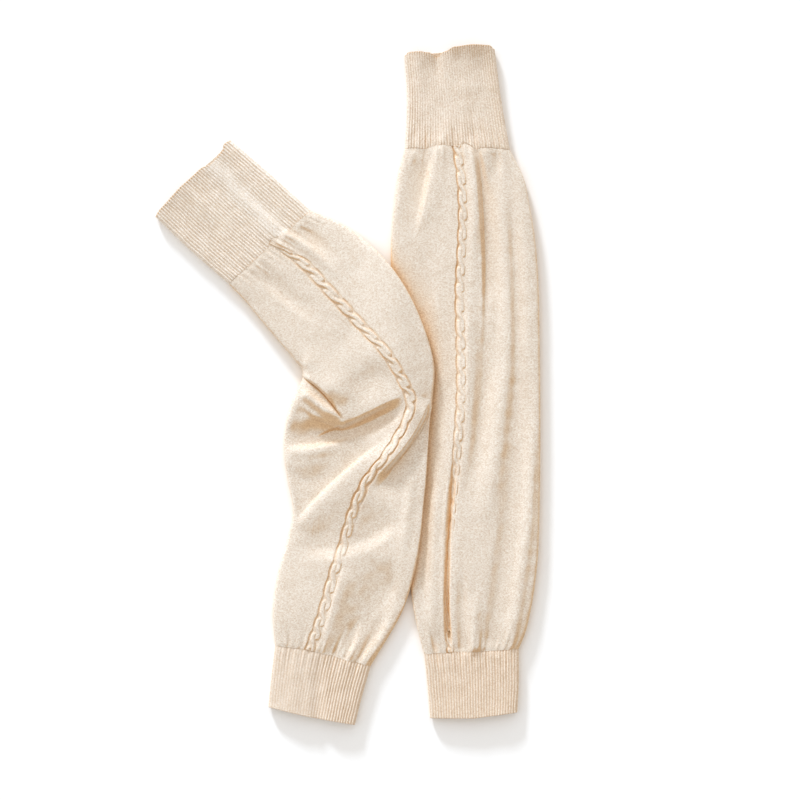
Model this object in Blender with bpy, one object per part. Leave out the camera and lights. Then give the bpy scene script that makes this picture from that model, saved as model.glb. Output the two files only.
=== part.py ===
"""Pair of knitted leg warmers, laid flat, one straight and one bent over its neighbour's edge.

Each one is three open tubes linked end to end: a wide ribbed cuff, a plain body with a rope cable
knitted in along its front, and a narrow ribbed cuff. The floor plan is X to the right and Y up
along the straight one, and Z is up. All sizes are millimetres until a mesh is made.
"""
from collections import namedtuple

import bmesh
import bpy
import numpy as np

# ---------------------------------------------------------------- driving dimensions, millimetres
METRES = 0.001
BODY_WALL = 1.7           # soft plain knit
CUFF_WALL = 1.8           # denser rib
SEAM_GAP = 0.38           # between two linked pieces
EDGE_LEVEL = 3.4          # height at which a laid tube is widest
UNDER_RADIUS = 4.0        # rounding below that level, down to the floor
DOME_POWER = 3.0          # how square the rounded top of a laid tube is
CROWN_BLEND = 0.6         # share of the half width over which the middle's crown becomes the side's
INNER_MARGIN = 3.8        # from a tube's side edge to its hollow
HOLLOW_SIDE_HEIGHT = 1.2  # height of the hollow along both of its sides
HOLLOW_LEAST_HEIGHT = 2.0  # and elsewhere, at the least
LEAST_THICKNESS = 7.8     # least height of a laid tube away from its edges
RIB_RISE = 0.7            # how far a rib stands out
CABLE_HALF_WIDTH = 4.2    # half of the rope cable's width
CABLE_RISE = 2.0          # height of the cable over the plain knit
CABLE_SWELL = 0.46        # half the share of that height that comes and goes with each crossing
CABLE_PITCH = 15.7        # length of one crossing
CABLE_SLANT = 0.62        # crossings that a strand runs down on its way from left to right
GUTTER_DEPTH = 0.7        # the purl gutter at each side of the cable
GUTTER_PLACE = 1.12       # its middle, in half widths of the cable
GUTTER_HALF_WIDTH = 0.4   # in the same measure
LIFT_HEIGHT = 8.8         # how high the bent one is carried over its neighbour's edge
LIFT_BEFORE = 32.0        # how far before that edge the lift begins
LIFT_LENGTH = 46.0        # length over which it rises
CEILING_REACH_ALONG = (-5.0, 0.0, 5.0)                # the hollow keeps below all that lies
CEILING_REACH_ACROSS = tuple(np.linspace(-8, 8, 11))  # this near, along the tube and across
CEILING_EDGE = 0.99       # share of the half width beyond which nothing is looked at for that
FOLD_EDGE = 8.0           # folds fade over this width at a tube's side edges
SHARP_ANGLE = 55.0        # degrees; the rims at the ends stay sharp
ORIGIN_SHIFT = (-0.10, 0.16)  # puts the middle of the whole pair over the origin

# ---------------------------------------------------------------- sections
# A section runs across a tube through three points of the floor plan, from its left edge over
# the middle line, where the cable is, to its right edge. The three crowns are the heights of the
# front at the left part, the middle and the right part. Sections run from top to bottom.
Section = namedtuple("Section", "left middle right left_crown crown right_crown")

STRAIGHT_TOP_CUFF = (
    Section((48.4, 288.1), (87.1, 291.5), (125.8, 293.3), 9.2, 9.8, 10.0),
    Section((51.0, 245.1), (90.5, 246.0), (131.8, 246.8), 9.2, 9.9, 9.6),
    Section((49.2, 203.0), (94.0, 204.7), (139.5, 202.1), 9.2, 10.6, 9.4),
)
STRAIGHT_BODY = (
    Section((49.2, 203.0), (94.0, 204.7), (139.5, 202.1), 9.2, 10.6, 9.4),
    Section((43.2, 179.7), (97.4, 179.7), (150.7, 179.7), 11.0, 13.0, 11.6),
    Section((39.8, 153.9), (99.1, 153.9), (156.7, 153.9), 11.6, 13.6, 13.2),
    Section((37.2, 120.4), (98.3, 120.4), (161.9, 120.4), 9.6, 13.4, 14.0),
    Section((37.2, 81.7), (96.5, 81.7), (164.5, 81.7), 7.2, 13.0, 14.2),
    Section((38.9, 34.4), (97.4, 34.4), (165.3, 34.4), 6.4, 12.6, 14.4),
    Section((41.5, -12.9), (97.4, -12.9), (165.8, -12.9), 6.4, 12.4, 14.6),
    Section((44.9, -60.2), (94.0, -60.2), (165.8, -60.2), 6.4, 12.6, 14.8),
    Section((48.4, -107.5), (90.5, -107.5), (165.3, -107.5), 7.0, 12.8, 14.6),
    Section((51.8, -150.5), (87.1, -150.5), (163.6, -150.5), 8.6, 13.0, 14.0),
    Section((56.1, -189.2), (85.4, -189.2), (158.5, -189.2), 11.0, 12.6, 13.0),
    Section((61.3, -215.0), (87.1, -215.0), (152.4, -215.0), 10.2, 10.8, 11.4),
    Section((65.6, -231.3), (88.8, -229.6), (147.3, -227.0), 9.3, 9.8, 9.5),
)
STRAIGHT_BOTTOM_CUFF = (
    Section((65.6, -231.3), (88.8, -229.6), (147.3, -227.0), 9.3, 9.8, 9.5),
    Section((68.2, -255.4), (98.7, -255.4), (147.3, -254.6), 9.2, 9.8, 9.4),
    Section((70.7, -286.5), (108.6, -286.5), (145.9, -281.5), 9.2, 9.8, 9.4),
)
BENT_TOP_CUFF = (
    Section((-167.2, 146.2), (-134.6, 179.6), (-102.8, 212.2), 9.2, 9.8, 9.2),
    Section((-133.9, 114.4), (-99.5, 147.9), (-66.0, 180.6), 9.2, 9.8, 9.2),
    Section((-102.1, 86.4), (-64.4, 121.0), (-31.6, 149.6), 9.0, 10.4, 9.0),
)
BENT_BODY = (
    Section((-102.1, 86.4), (-64.4, 121.0), (-31.6, 149.6), 9.2, 10.4, 9.2),
    Section((-88.4, 72.2), (-38.9, 104.5), (-4.1, 137.6), 11.4, 12.8, 11.6),
    Section((-73.7, 54.2), (-14.6, 79.1), (23.4, 117.0), 12.6, 13.8, 12.0),
    Section((-59.1, 37.0), (10.5, 51.6), (47.5, 86.9), 13.6, 14.0, 11.0),
    Section((-46.2, 21.5), (33.5, 26.0), (65.6, 49.0), 15.2, 13.6, 10.2),
    Section((-38.5, 7.7), (46.7, 2.5), (74.2, 17.2), 15.0, 12.8, 9.8),
    Section((-47.9, -14.6), (52.5, -16.3), (73.3, -6.0), 13.4, 12.4, 9.6),
    Section((-54.0, -38.7), (45.8, -39.2), (70.7, -30.1), 13.0, 12.6, 9.2),
    Section((-54.8, -60.2), (32.3, -61.1), (69.0, -55.9), 13.4, 12.8, 9.0),
    Section((-51.4, -83.4), (16.2, -80.8), (67.3, -81.7), 13.4, 12.8, 9.2),
    Section((-47.1, -109.2), (4.9, -105.8), (64.7, -107.5), 13.4, 13.0, 9.4),
    Section((-52.2, -135.0), (-3.2, -133.3), (62.1, -134.2), 13.2, 13.2, 9.8),
    Section((-60.0, -162.5), (-12.7, -162.5), (57.0, -161.7), 13.2, 13.2, 10.4),
    Section((-64.3, -191.8), (-20.9, -194.4), (47.5, -193.5), 12.8, 12.8, 11.6),
    Section((-62.6, -223.6), (-32.0, -227.9), (20.0, -241.7), 9.2, 9.8, 9.4),
)
BENT_BOTTOM_CUFF = (
    Section((-62.6, -223.6), (-32.0, -227.9), (20.0, -241.7), 9.2, 9.8, 9.4),
    Section((-66.0, -251.1), (-30.3, -258.6), (12.3, -268.3), 9.2, 9.8, 9.4),
    Section((-68.6, -276.9), (-32.5, -285.5), (6.2, -292.4), 9.2, 9.8, 9.4),
)

# ---------------------------------------------------------------- folds
# A fold is a soft ridge, or a trough where its height is negative, along a curve of the floor
# plan through three points. It is half as wide on its left hand as left_width says, seen from
# start to end, and fades over the given share of its length at each end.
Fold = namedtuple("Fold", "start middle end height left_width right_width fade_in fade_out")

STRAIGHT_FOLDS = (
    # beside the upper cable
    Fold((57.1, 206.0), (54.5, 169.7), (45.9, 110.4), -3.8, 11, 9, 0.1, 0.5),
    Fold((80.2, 206.0), (69.0, 163.4), (61.3, 107.5), 2.0, 12, 12, 0.2, 0.6),
    Fold((104.4, 214.0), (109.2, 156.2), (105.1, 47.3), 2.2, 8, 7, 0.2, 0.5),
    Fold((109.9, 208.0), (119.0, 129.0), (117.5, -22.9), -4.6, 12, 7, 0.22, 0.5),
    Fold((115.5, 206.0), (118.9, 184.9), (124.1, 159.1), 1.4, 6, 5, 0.1, 0.6),
    Fold((124.9, 206.0), (128.4, 189.2), (130.9, 172.0), -2.0, 6, 5, 0.1, 0.6),
    # long folds over the right half
    Fold((120.6, 193.5), (132.7, 107.5), (130.9, -4.3), 1.8, 9, 10, 0.4, 0.1),
    Fold((129.4, 200.4), (144.0, 98.9), (143.0, -12.9), -3.0, 10, 8, 0.4, 0.1),
    Fold((131.5, 6.0), (120.6, -73.1), (107.7, -160.5), 2.6, 12, 14, 0.1, 0.5),
    Fold((142.1, 6.0), (137.0, -98.9), (119.8, -234.0), -3.6, 12, 9, 0.1, 0.05),
    Fold((154.2, -12.9), (150.7, -124.7), (130.1, -234.0), 1.4, 10, 10, 0.3, 0.1),
    Fold((113.3, -2.0), (109.0, -52.0), (103.0, -120.0), -2.4, 8, 8, 0.3, 0.4),
    Fold((110.3, -176.3), (108.6, -202.1), (108.6, -234.0), 1.8, 7, 7, 0.4, 0.1),
    Fold((99.1, -150.5), (98.3, -189.2), (100.0, -234.0), -1.8, 7, 7, 0.5, 0.1),
    # the narrow crack that takes in the lower cable, and the strip at its left
    Fold((98.4, -18.0), (92.2, -92.0), (87.2, -228.0), -5.4, 4.6, 5.0, 0.3, 0.12),
    Fold((80.2, -48.8), (73.5, -131.9), (73.3, -226.0), 1.8, 8, 9, 0.4, 0.1),
)
BENT_FOLDS = (
    # upper half
    Fold((-58.0, 132.0), (-29.0, 112.9), (-2.4, 84.0), 2.6, 6, 8, 0.1, 0.6),
    Fold((-43.9, 143.5), (-27.3, 124.0), (-8.1, 104.1), -3.0, 9, 6, 0.1, 0.6),
    Fold((-84.3, 105.6), (-50.9, 75.8), (-12.4, 47.4), -3.0, 11, 10, 0.15, 0.5),
    Fold((-30.7, 20.3), (-2.4, 12.2), (34.6, 26.4), 2.2, 20, 16, 0.2, 0.6),
    # the bend: the crack under its overhanging lip, the tongue below it, and the deep valley
    Fold((-43.5, 12.7), (-22.0, -7.5), (-7.0, -32.0), -7.4, 5.0, 8.5, 0.0, 0.35),
    Fold((-36.8, -8.3), (-20.9, -25.4), (3.2, -31.1), 2.6, 8, 7, 0.2, 0.3),
    Fold((-56.2, -35.9), (-6.4, -41.7), (50.9, -12.6), -6.6, 7, 15, 0.05, 0.25),
    Fold((-57.1, -53.3), (-11.0, -51.4), (34.0, -38.0), 3.2, 7, 8, 0.1, 0.3),
    Fold((-51.7, -92.3), (-19.6, -72.6), (14.8, -54.2), -4.6, 13, 13, 0.05, 0.4),
    Fold((40.6, -37.1), (-2.4, -73.1), (-48.5, -118.1), 3.8, 14, 7, 0.2, 0.0),
    Fold((-53.4, -137.5), (-28.2, -134.2), (-2.4, -131.9), -3.2, 12, 7, 0.0, 0.3),
    Fold((66.5, -24.0), (50.8, -48.9), (17.1, -79.7), 2.6, 5, 9, 0.3, 0.4),
    Fold((73.5, -38.0), (58.8, -59.9), (24.1, -90.7), -2.6, 13, 6, 0.2, 0.3),
    # lower half
    Fold((57.0, -65.9), (51.8, -107.5), (41.5, -184.9), 1.8, 8, 8, 0.3, 0.4),
    Fold((43.2, -111.8), (26.0, -135.9), (1.9, -152.2), 2.0, 8, 8, 0.3, 0.3),
    Fold((32.1, -151.9), (16.9, -188.9), (2.2, -238.2), -2.8, 9, 8, 0.3, 0.3),
    Fold((42.4, -167.7), (24.3, -204.1), (-1.4, -238.2), 1.8, 7, 7, 0.4, 0.1),
    Fold((42.1, -191.8), (27.4, -217.3), (11.8, -242.5), -2.2, 6, 6, 0.4, 0.1),
    Fold((0.4, -154.8), (-10.8, -184.9), (-21.1, -230.6), 2.0, 6, 6, 0.3, 0.2),
    Fold((3.7, -189.2), (-4.9, -212.4), (-11.8, -239.1), -1.6, 6, 6, 0.4, 0.4),
)
STRAIGHT_CUFF_FOLDS = (
    Fold((77.0, 300.0), (76.5, 277.0), (82.0, 246.0), -1.8, 7, 8, 0.0, 0.6),
    Fold((60.0, 300.0), (62.0, 272.0), (64.0, 240.0), 1.2, 9, 9, 0.0, 0.6),
    Fold((104.0, 300.0), (106.0, 262.0), (112.0, 228.0), 1.2, 12, 12, 0.0, 0.6),
    Fold((80.0, 196.0), (84.0, 217.0), (92.0, 236.0), 1.2, 8, 8, 0.0, 0.6),
    Fold((56.1, 196.0), (57.0, 214.0), (60.0, 232.0), -1.4, 7, 7, 0.0, 0.6),
    Fold((108.0, 196.0), (104.0, 214.0), (98.0, 228.0), -0.8, 6, 6, 0.0, 0.6),
)
BENT_CUFF_FOLDS = (
    Fold((-128.0, 192.0), (-110.0, 172.0), (-92.7, 152.0), -0.8, 8, 8, 0.0, 0.6),
    Fold((-145.0, 170.0), (-126.0, 152.0), (-104.0, 132.0), 1.0, 10, 10, 0.0, 0.6),
    Fold((-56.0, 112.0), (-74.0, 130.0), (-92.0, 144.0), 1.2, 8, 8, 0.0, 0.6),
)

# ---------------------------------------------------------------- wavy mouths of the top cuffs
# How far the mouth is drawn in at a place across it: -1 is the left edge and 1 the right one.
Lip = namedtuple("Lip", "across inset")
STRAIGHT_LIP = (Lip(-1, 5.2), Lip(-0.9, 2.6), Lip(-0.7, 2.8), Lip(-0.45, 4.6), Lip(-0.31, 9.0),
                Lip(-0.1, 4.6), Lip(0.12, 1.5), Lip(0.52, 0.4), Lip(0.88, 1.2), Lip(1, 4.6))
BENT_LIP = (Lip(-1, 2.2), Lip(-0.87, 1.0), Lip(-0.33, 0.4), Lip(0.2, 1.4), Lip(0.44, 5.0),
            Lip(0.73, 4.2), Lip(0.87, 1.2), Lip(1, 2.2))
PLAIN_LIP = (Lip(-1, 0.0), Lip(1, 0.0))
LIP_REACH = 0.55          # share of the cuff over which the wave of its mouth runs out

# ---------------------------------------------------------------- mesh fineness
RIBS_TOP = 38
RIBS_BOTTOM = 33
EDGE_STEPS = (0.986, 0.957, 0.91, 0.84)      # shares of the way to the edge where it rounds
INNERMOST, OUTERMOST = 0.1, 0.76             # where the even lines between it and the cable lie
CABLE_STEPS = (-GUTTER_PLACE, -0.75, -0.36, 0.0, 0.36, 0.75, GUTTER_PLACE)
ROWS_A_CROSSING = 4
ROUND_EDGE = 0.985        # share of the half width where the back and the cuffs start to round
HOLLOW_EDGE = 0.93        # share of the half width of the hollow's outermost line but one
TOP_CUFF_ROWS = (0.0, 0.12, 0.28, 0.5, 1.0)
BOTTOM_CUFF_ROWS = (0.0, 0.5, 1.0)
HOLLOW_LINES_TOP = 22     # lines round the front of a cuff's hollow; its mouth is wavy
HOLLOW_LINES_BOTTOM = 16
DENSE_WEIGHT = 2.4        # how much closer rows lie over a body's dense stretch
SPREAD_STEPS = 400

BodyFineness = namedtuple("BodyFineness",
                          "left_lines right_lines hollow_lines rows dense_from dense_to")
STRAIGHT_FINENESS = BodyFineness(7, 11, 13, 31, 0.0, 1.0)
BENT_FINENESS = BodyFineness(13, 8, 17, 58, 0.32, 0.62)

# ---------------------------------------------------------------- colours
KNIT_COLOUR = (0.79, 0.69, 0.56)
RIB_COLOUR = (0.76, 0.65, 0.52)
KNIT_ROUGHNESS = 0.95
KNIT_SHEEN = 0.3


def smoothstep(x):
    """Ease from 0 to 1."""
    x = np.clip(x, 0.0, 1.0)
    return x * x * (3.0 - 2.0 * x)


def eased(x, places, values):
    """Interpolation through a table that levels out at each of its rows."""
    places, values = np.asarray(places, float), np.asarray(values, float)
    k = np.clip(np.searchsorted(places, x, side="right") - 1, 0, len(places) - 2)
    share = smoothstep((x - places[k]) / (places[k + 1] - places[k]))
    return values[k] + (values[k + 1] - values[k]) * share


def soft_floor(value, least, blend=1.2):
    """The larger of two heights, rounded where they meet."""
    apart = np.clip((blend - np.abs(value - least)) / blend, 0, 1)
    return np.maximum(value, least) + blend * apart**2 / 4


class Track:
    """A table of sections as smooth functions of s, from 0 at the top end to 1 at the bottom."""

    def __init__(self, sections):
        rows = np.array([[*row.left, *row.middle, *row.right,
                          row.left_crown, row.crown, row.right_crown] for row in sections])
        steps = np.linalg.norm(np.diff(rows[:, :6], axis=0), axis=1) / np.sqrt(3.0)
        places = np.concatenate([[0.0], np.cumsum(steps)])
        self.length = places[-1]
        self.s = places / self.length
        self.rows = rows
        self.slopes = np.gradient(rows, self.s, axis=0)

    def at(self, s):
        """Cubic interpolation of all nine columns at each s."""
        s = np.asarray(s, dtype=float)
        k = np.clip(np.searchsorted(self.s, s, side="right") - 1, 0, len(self.s) - 2)
        step = (self.s[k + 1] - self.s[k])[..., None]
        t = ((s - self.s[k]) / step[..., 0])[..., None]
        a, b = self.rows[k], self.rows[k + 1]
        da, db = self.slopes[k] * step, self.slopes[k + 1] * step
        return ((2 * t**3 - 3 * t**2 + 1) * a + (t**3 - 2 * t**2 + t) * da
                + (3 * t**2 - 2 * t**3) * b + (t**3 - t**2) * db)


def curve_through(fold, count=20):
    """Points of the quadratic curve through a fold's three points."""
    start, middle, end = (np.array(p) for p in (fold.start, fold.middle, fold.end))
    control = 2 * middle - (start + end) / 2
    t = np.linspace(0, 1, count)[:, None]
    return (1 - t)**2 * start + 2 * t * (1 - t) * control + t**2 * end


def fold_height(fold, x, y):
    """Height that one fold adds at each point of the floor plan."""
    line = curve_through(fold)
    best = np.full(x.shape, np.inf)
    along = np.zeros(x.shape)
    side = np.zeros(x.shape)
    for k in range(len(line) - 1):
        ax, ay = line[k]
        dx, dy = line[k + 1] - line[k]
        t = np.clip(((x - ax) * dx + (y - ay) * dy) / (dx * dx + dy * dy), 0, 1)
        px, py = x - ax - t * dx, y - ay - t * dy
        distance = np.hypot(px, py)
        nearer = distance < best
        best = np.where(nearer, distance, best)
        along = np.where(nearer, (k + t) / (len(line) - 1), along)
        side = np.where(nearer, dx * py - dy * px, side)
    width = np.where(side > 0, fold.left_width, fold.right_width)
    bell = 0.5 + 0.5 * np.cos(np.pi * np.clip(best / width, 0, 1))
    taper = np.ones(x.shape)
    if fold.fade_in:
        taper = taper * smoothstep(along / fold.fade_in)
    if fold.fade_out:
        taper = taper * smoothstep((1 - along) / fold.fade_out)
    return fold.height * bell * taper


STRAIGHT_TRACK = Track(STRAIGHT_BODY)


def lift(x, y):
    """How high the bent one's underside is carried where the straight one lies under it."""
    middle_y = STRAIGHT_TRACK.rows[:, 3]
    left_edge = np.interp(y, middle_y[::-1], STRAIGHT_TRACK.rows[::-1, 0])
    return LIFT_HEIGHT * smoothstep((x - left_edge + LIFT_BEFORE) / LIFT_LENGTH)


def no_lift(x, y):
    """The straight one lies on the floor."""
    return np.zeros(np.shape(x))


class Tube:
    """One piece's surface: s runs along it and q across it, from -1 (left) to 1 (right)."""

    def __init__(self, sections, folds, lips=PLAIN_LIP, lifted=no_lift, wall=BODY_WALL):
        self.track = Track(sections)
        self.folds = folds
        self.lips = lips
        self.lifted = lifted
        self.wall = wall

    def place(self, s, q):
        """Sections' values at s, after the mouth's wave has moved s along."""
        s, q = np.broadcast_arrays(np.asarray(s, float), np.asarray(q, float))
        inset = eased(q, [lip.across for lip in self.lips], [lip.inset for lip in self.lips])
        fading = np.clip(1 - s / LIP_REACH, 0, 1)**2
        return self.track.at(s + inset / self.track.length * fading), q

    def plan(self, s, q):
        """Point of the floor plan, and the half width on that side."""
        values, q = self.place(s, q)
        middle = values[..., 2:4]
        edge = np.where((q < 0)[..., None], values[..., 0:2], values[..., 4:6])
        point = middle + np.abs(q)[..., None] * (edge - middle)
        return point[..., 0], point[..., 1], np.linalg.norm(edge - middle, axis=-1)

    def half_width(self, s, side):
        """Half width at s, on the left where side is below 0 and else on the right."""
        return self.plan(s, np.full(np.shape(s), np.sign(side) / 2))[2]

    def underside(self, s, q):
        """Height of the back's outer face."""
        x, y, half = self.plan(s, q)
        inset = np.clip(1 - (1 - np.abs(q)) * half / UNDER_RADIUS, 0, 1)
        return self.lifted(x, y) + EDGE_LEVEL * (1 - np.sqrt(1 - inset**2))

    def front(self, s, q):
        """Height of the front's outer face, without ribs or cable."""
        values, q = self.place(s, q)
        x, y, half = self.plan(s, q)
        side = np.where(q < 0, values[..., 6], values[..., 8])
        crown = values[..., 7] + (side - values[..., 7]) * smoothstep(np.abs(q) / CROWN_BLEND)
        dome = (1 - np.abs(q)**DOME_POWER)**(1 / DOME_POWER)
        near_edge = smoothstep((1 - np.abs(q)) * half / FOLD_EDGE)
        folded = sum(fold_height(fold, x, y) for fold in self.folds)
        plain = EDGE_LEVEL + (crown - EDGE_LEVEL) * dome
        least = EDGE_LEVEL + (LEAST_THICKNESS - EDGE_LEVEL) * dome
        return self.lifted(x, y) + soft_floor(plain + folded * near_edge, least)

    def ceiling(self, s, q):
        """Height of the front's inner face: plain, and below every fold close by."""
        s, q = np.broadcast_arrays(s, q)
        _, _, half = self.plan(s, q)
        along = np.array(CEILING_REACH_ALONG)[:, None] / self.track.length
        across = np.array(CEILING_REACH_ACROSS)[None, :] / half[..., None, None]
        near_s = np.clip(s[..., None, None] + along + 0 * across, 0, 1)
        near_q = np.clip(q[..., None, None] + across + 0 * along, -CEILING_EDGE, CEILING_EDGE)
        return self.front(near_s, near_q).min(axis=(-2, -1)) - self.wall


# ---------------------------------------------------------------- relief on the front's outer face
def cable_relief(tube, s, q):
    """Slanting lobes of the rope cable, with a gutter at each side."""
    _, _, half = tube.plan(s, q)
    across = q * half / CABLE_HALF_WIDTH
    crossings = s * tube.track.length / CABLE_PITCH - CABLE_SLANT * across / 2
    body = np.sqrt(np.clip(1 - across**2, 0, 1))
    lobes = CABLE_RISE * body * (1 - CABLE_SWELL * (1 - np.cos(2 * np.pi * crossings)))
    from_gutter = np.abs(np.abs(across) - GUTTER_PLACE) / GUTTER_HALF_WIDTH
    return lobes - GUTTER_DEPTH * np.clip(1 - from_gutter, 0, 1)


def rib_relief(ribs):
    """Relief of a cuff with this many ribs from edge to edge, for the line at a share of it."""
    def at(share):
        height = RIB_RISE / 2 * np.cos(2 * np.pi * ribs * (share + 1) / 2)
        return lambda tube, s, q: np.full(np.shape(s), height)
    return at


def plain_relief(tube, s, q):
    """No relief."""
    return np.zeros(np.broadcast(s, q).shape)


# ---------------------------------------------------------------- meshes
# A line of points runs along the tube. Its turns say how far round the tube it lies, from 0 to 1,
# at its first and last point. A ring is a list of lines once round the tube.
Line = namedtuple("Line", "turns points places")


def make_line(mesh, turn, q, s, x, y, z):
    """Add a line's points to the mesh."""
    points = [mesh.verts.new(np.array(point) * METRES) for point in zip(x, y, z)]
    return Line((turn(q[0]), turn(q[-1])), points, list(s))


def zip_rows(mesh, first, first_places, second, second_places):
    """Join two rows of points by triangles, each step taken on the row that lags behind.

    Where neither lags, the second row goes first, so that edges slant the way the strands do.
    """
    i = j = 0
    while i < len(first) - 1 or j < len(second) - 1:
        if j == len(second) - 1:
            step_first = True
        elif i == len(first) - 1:
            step_first = False
        else:
            step_first = first_places[i + 1] < second_places[j + 1]
        if step_first:
            mesh.faces.new((first[i], first[i + 1], second[j]))
            i += 1
        else:
            mesh.faces.new((first[i], second[j + 1], second[j]))
            j += 1


def zip_ring(mesh, ring):
    """Join each line of a ring to the next one."""
    for here, beyond in zip(ring, ring[1:] + ring[:1]):
        zip_rows(mesh, here.points, here.places, beyond.points, beyond.places)


def zip_rim(mesh, outer, inner, end):
    """Close the wall between an outer and an inner ring at one end (0 or -1)."""
    outer_points = [line.points[end] for line in outer] + [outer[0].points[end]]
    inner_points = [line.points[end] for line in inner] + [inner[0].points[end]]
    outer_turns = [line.turns[end] for line in outer] + [outer[0].turns[end] + 1]
    inner_turns = [line.turns[end] for line in inner] + [inner[0].turns[end] + 1]
    zip_rows(mesh, outer_points, outer_turns, inner_points, inner_turns)


def front_turn(q):
    """Place round the tube, from 0 to 1, of a line on the front."""
    return (q + 1) / 4


def back_turn(q):
    """Place round the tube of a line on the back."""
    return 1 - (q + 1) / 4


def back_across(hollow_across):
    """Places across of the back's lines: under the hollow's own, and round both sides."""
    return [ROUND_EDGE, *hollow_across[-2:0:-1], -ROUND_EDGE]


def outer_ring(mesh, tube, front_lines, hollow_across, back_rows):
    """The outer face. Each front line is a function of s that gives q, its rows and its relief."""
    ring = []
    for across, rows, relief in front_lines:
        s = np.array(rows)
        q = across(s)
        x, y, _ = tube.plan(s, q)
        if np.all(np.abs(q) == 1):
            z = tube.underside(s, q)
        else:
            z = tube.front(s, q) + relief(tube, s, q)
        ring.append(make_line(mesh, front_turn, q, s, x, y, z))
    for q_value in back_across(hollow_across):
        s = np.array(back_rows)
        q = np.full(s.shape, q_value)
        x, y, _ = tube.plan(s, q)
        z = tube.underside(s, q)
        ring.append(make_line(mesh, back_turn, q, s, x, y, z))
    return ring


def inner_ring(mesh, tube, across, rows):
    """The hollow's plain face: its front lines, then its back lines."""
    s = np.array(rows)
    ring = []
    for q_value in across:
        q = np.full(s.shape, q_value)
        q = q * (1 - INNER_MARGIN / tube.half_width(s, q_value))
        x, y, _ = tube.plan(s, q)
        floor = tube.lifted(x, y) + tube.wall
        if abs(q_value) == 1:
            z = floor + HOLLOW_SIDE_HEIGHT
        else:
            z = np.maximum(tube.ceiling(s, q), floor + HOLLOW_LEAST_HEIGHT)
        ring.append(make_line(mesh, front_turn, q, s, x, y, z))
    for q_value in across[-2:0:-1]:
        q = np.full(s.shape, q_value)
        x, y, _ = tube.plan(s, q)
        z = tube.lifted(x, y) + tube.wall
        ring.append(make_line(mesh, back_turn, q, s, x, y, z))
    return ring


def fixed(q_value):
    """A line that keeps its share of the half width."""
    return lambda s: np.full(s.shape, q_value)


def even_line(tube, share):
    """A line that keeps its share of the whole width, from -1 to 1."""
    def across(s):
        left_half = tube.half_width(s, -1)
        right_half = tube.half_width(s, 1)
        place = (share + 1) / 2 * (left_half + right_half) - left_half
        return np.clip(np.where(place < 0, place / left_half, place / right_half), -1, 1)
    return across


def cable_line(tube, share):
    """A line that keeps its distance from the cable's middle."""
    return lambda s: share * CABLE_HALF_WIDTH / tube.half_width(s, share)


def beside_cable(tube, share):
    """A line at its share of the way from the cable's side (0) to the tube's edge (-1 or 1)."""
    band = cable_line(tube, CABLE_STEPS[-1] * np.sign(share))
    return lambda s: band(s) + (np.sign(share) - band(s)) * abs(share)


def spread(fineness, first, last):
    """Rows from first to last, closer together over the dense stretch."""
    s = np.linspace(0, 1, SPREAD_STEPS)
    dense = (s > fineness.dense_from) & (s < fineness.dense_to)
    weight = np.cumsum(np.where(dense, DENSE_WEIGHT, 1.0))
    share = (weight - weight[0]) / (weight[-1] - weight[0])
    return np.interp(np.linspace(0, 1, fineness.rows), share, first + (last - first) * s)


def build_tube(name, tube, front, hollow_lines, back_rows, material):
    """The closed wall between the outer face and the hollow, as an object."""
    hollow_across = [-1, *np.linspace(-HOLLOW_EDGE, HOLLOW_EDGE, hollow_lines), 1]
    mesh = bmesh.new()
    outer = outer_ring(mesh, tube, front, hollow_across, back_rows)
    inner = inner_ring(mesh, tube, hollow_across, back_rows)
    zip_ring(mesh, outer)
    zip_ring(mesh, inner)
    zip_rim(mesh, outer, inner, 0)
    zip_rim(mesh, outer, inner, -1)
    finish_object(name, mesh, material)


def finish_object(name, mesh, material):
    """Make an object of a finished mesh, with its faces pointing out."""
    bmesh.ops.recalc_face_normals(mesh, faces=mesh.faces)
    if mesh.calc_volume(signed=True) < 0:
        bmesh.ops.reverse_faces(mesh, faces=mesh.faces)
    data = bpy.data.meshes.new(name)
    mesh.to_mesh(data)
    mesh.free()
    data.shade_smooth()
    data.set_sharp_from_angle(angle=np.radians(SHARP_ANGLE))
    data.materials.append(material)
    piece = bpy.data.objects.new(name, data)
    piece.location = (ORIGIN_SHIFT[0] * METRES, ORIGIN_SHIFT[1] * METRES, 0)
    bpy.context.scene.collection.objects.link(piece)


def build_body(name, tube, fineness, material):
    """A body tube with its cable."""
    gap = SEAM_GAP / tube.track.length
    rows = spread(fineness, gap, 1 - gap)
    crossings = tube.track.length / CABLE_PITCH
    cable_rows = np.linspace(gap, 1 - gap, int(crossings * ROWS_A_CROSSING))
    left = [*[-e for e in EDGE_STEPS], *np.linspace(-OUTERMOST, -INNERMOST, fineness.left_lines)]
    right = [*np.linspace(INNERMOST, OUTERMOST, fineness.right_lines), *reversed(EDGE_STEPS)]
    front = [(fixed(-1.0), rows, plain_relief)]
    front += [(beside_cable(tube, share), rows, plain_relief) for share in left]
    front += [(cable_line(tube, share), cable_rows, cable_relief) for share in CABLE_STEPS]
    front += [(beside_cable(tube, share), rows, plain_relief) for share in right]
    front += [(fixed(1.0), rows, plain_relief)]
    back_rows = np.append(rows[:-2:2], rows[-1])
    build_tube(name, tube, front, fineness.hollow_lines, back_rows, material)


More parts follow.
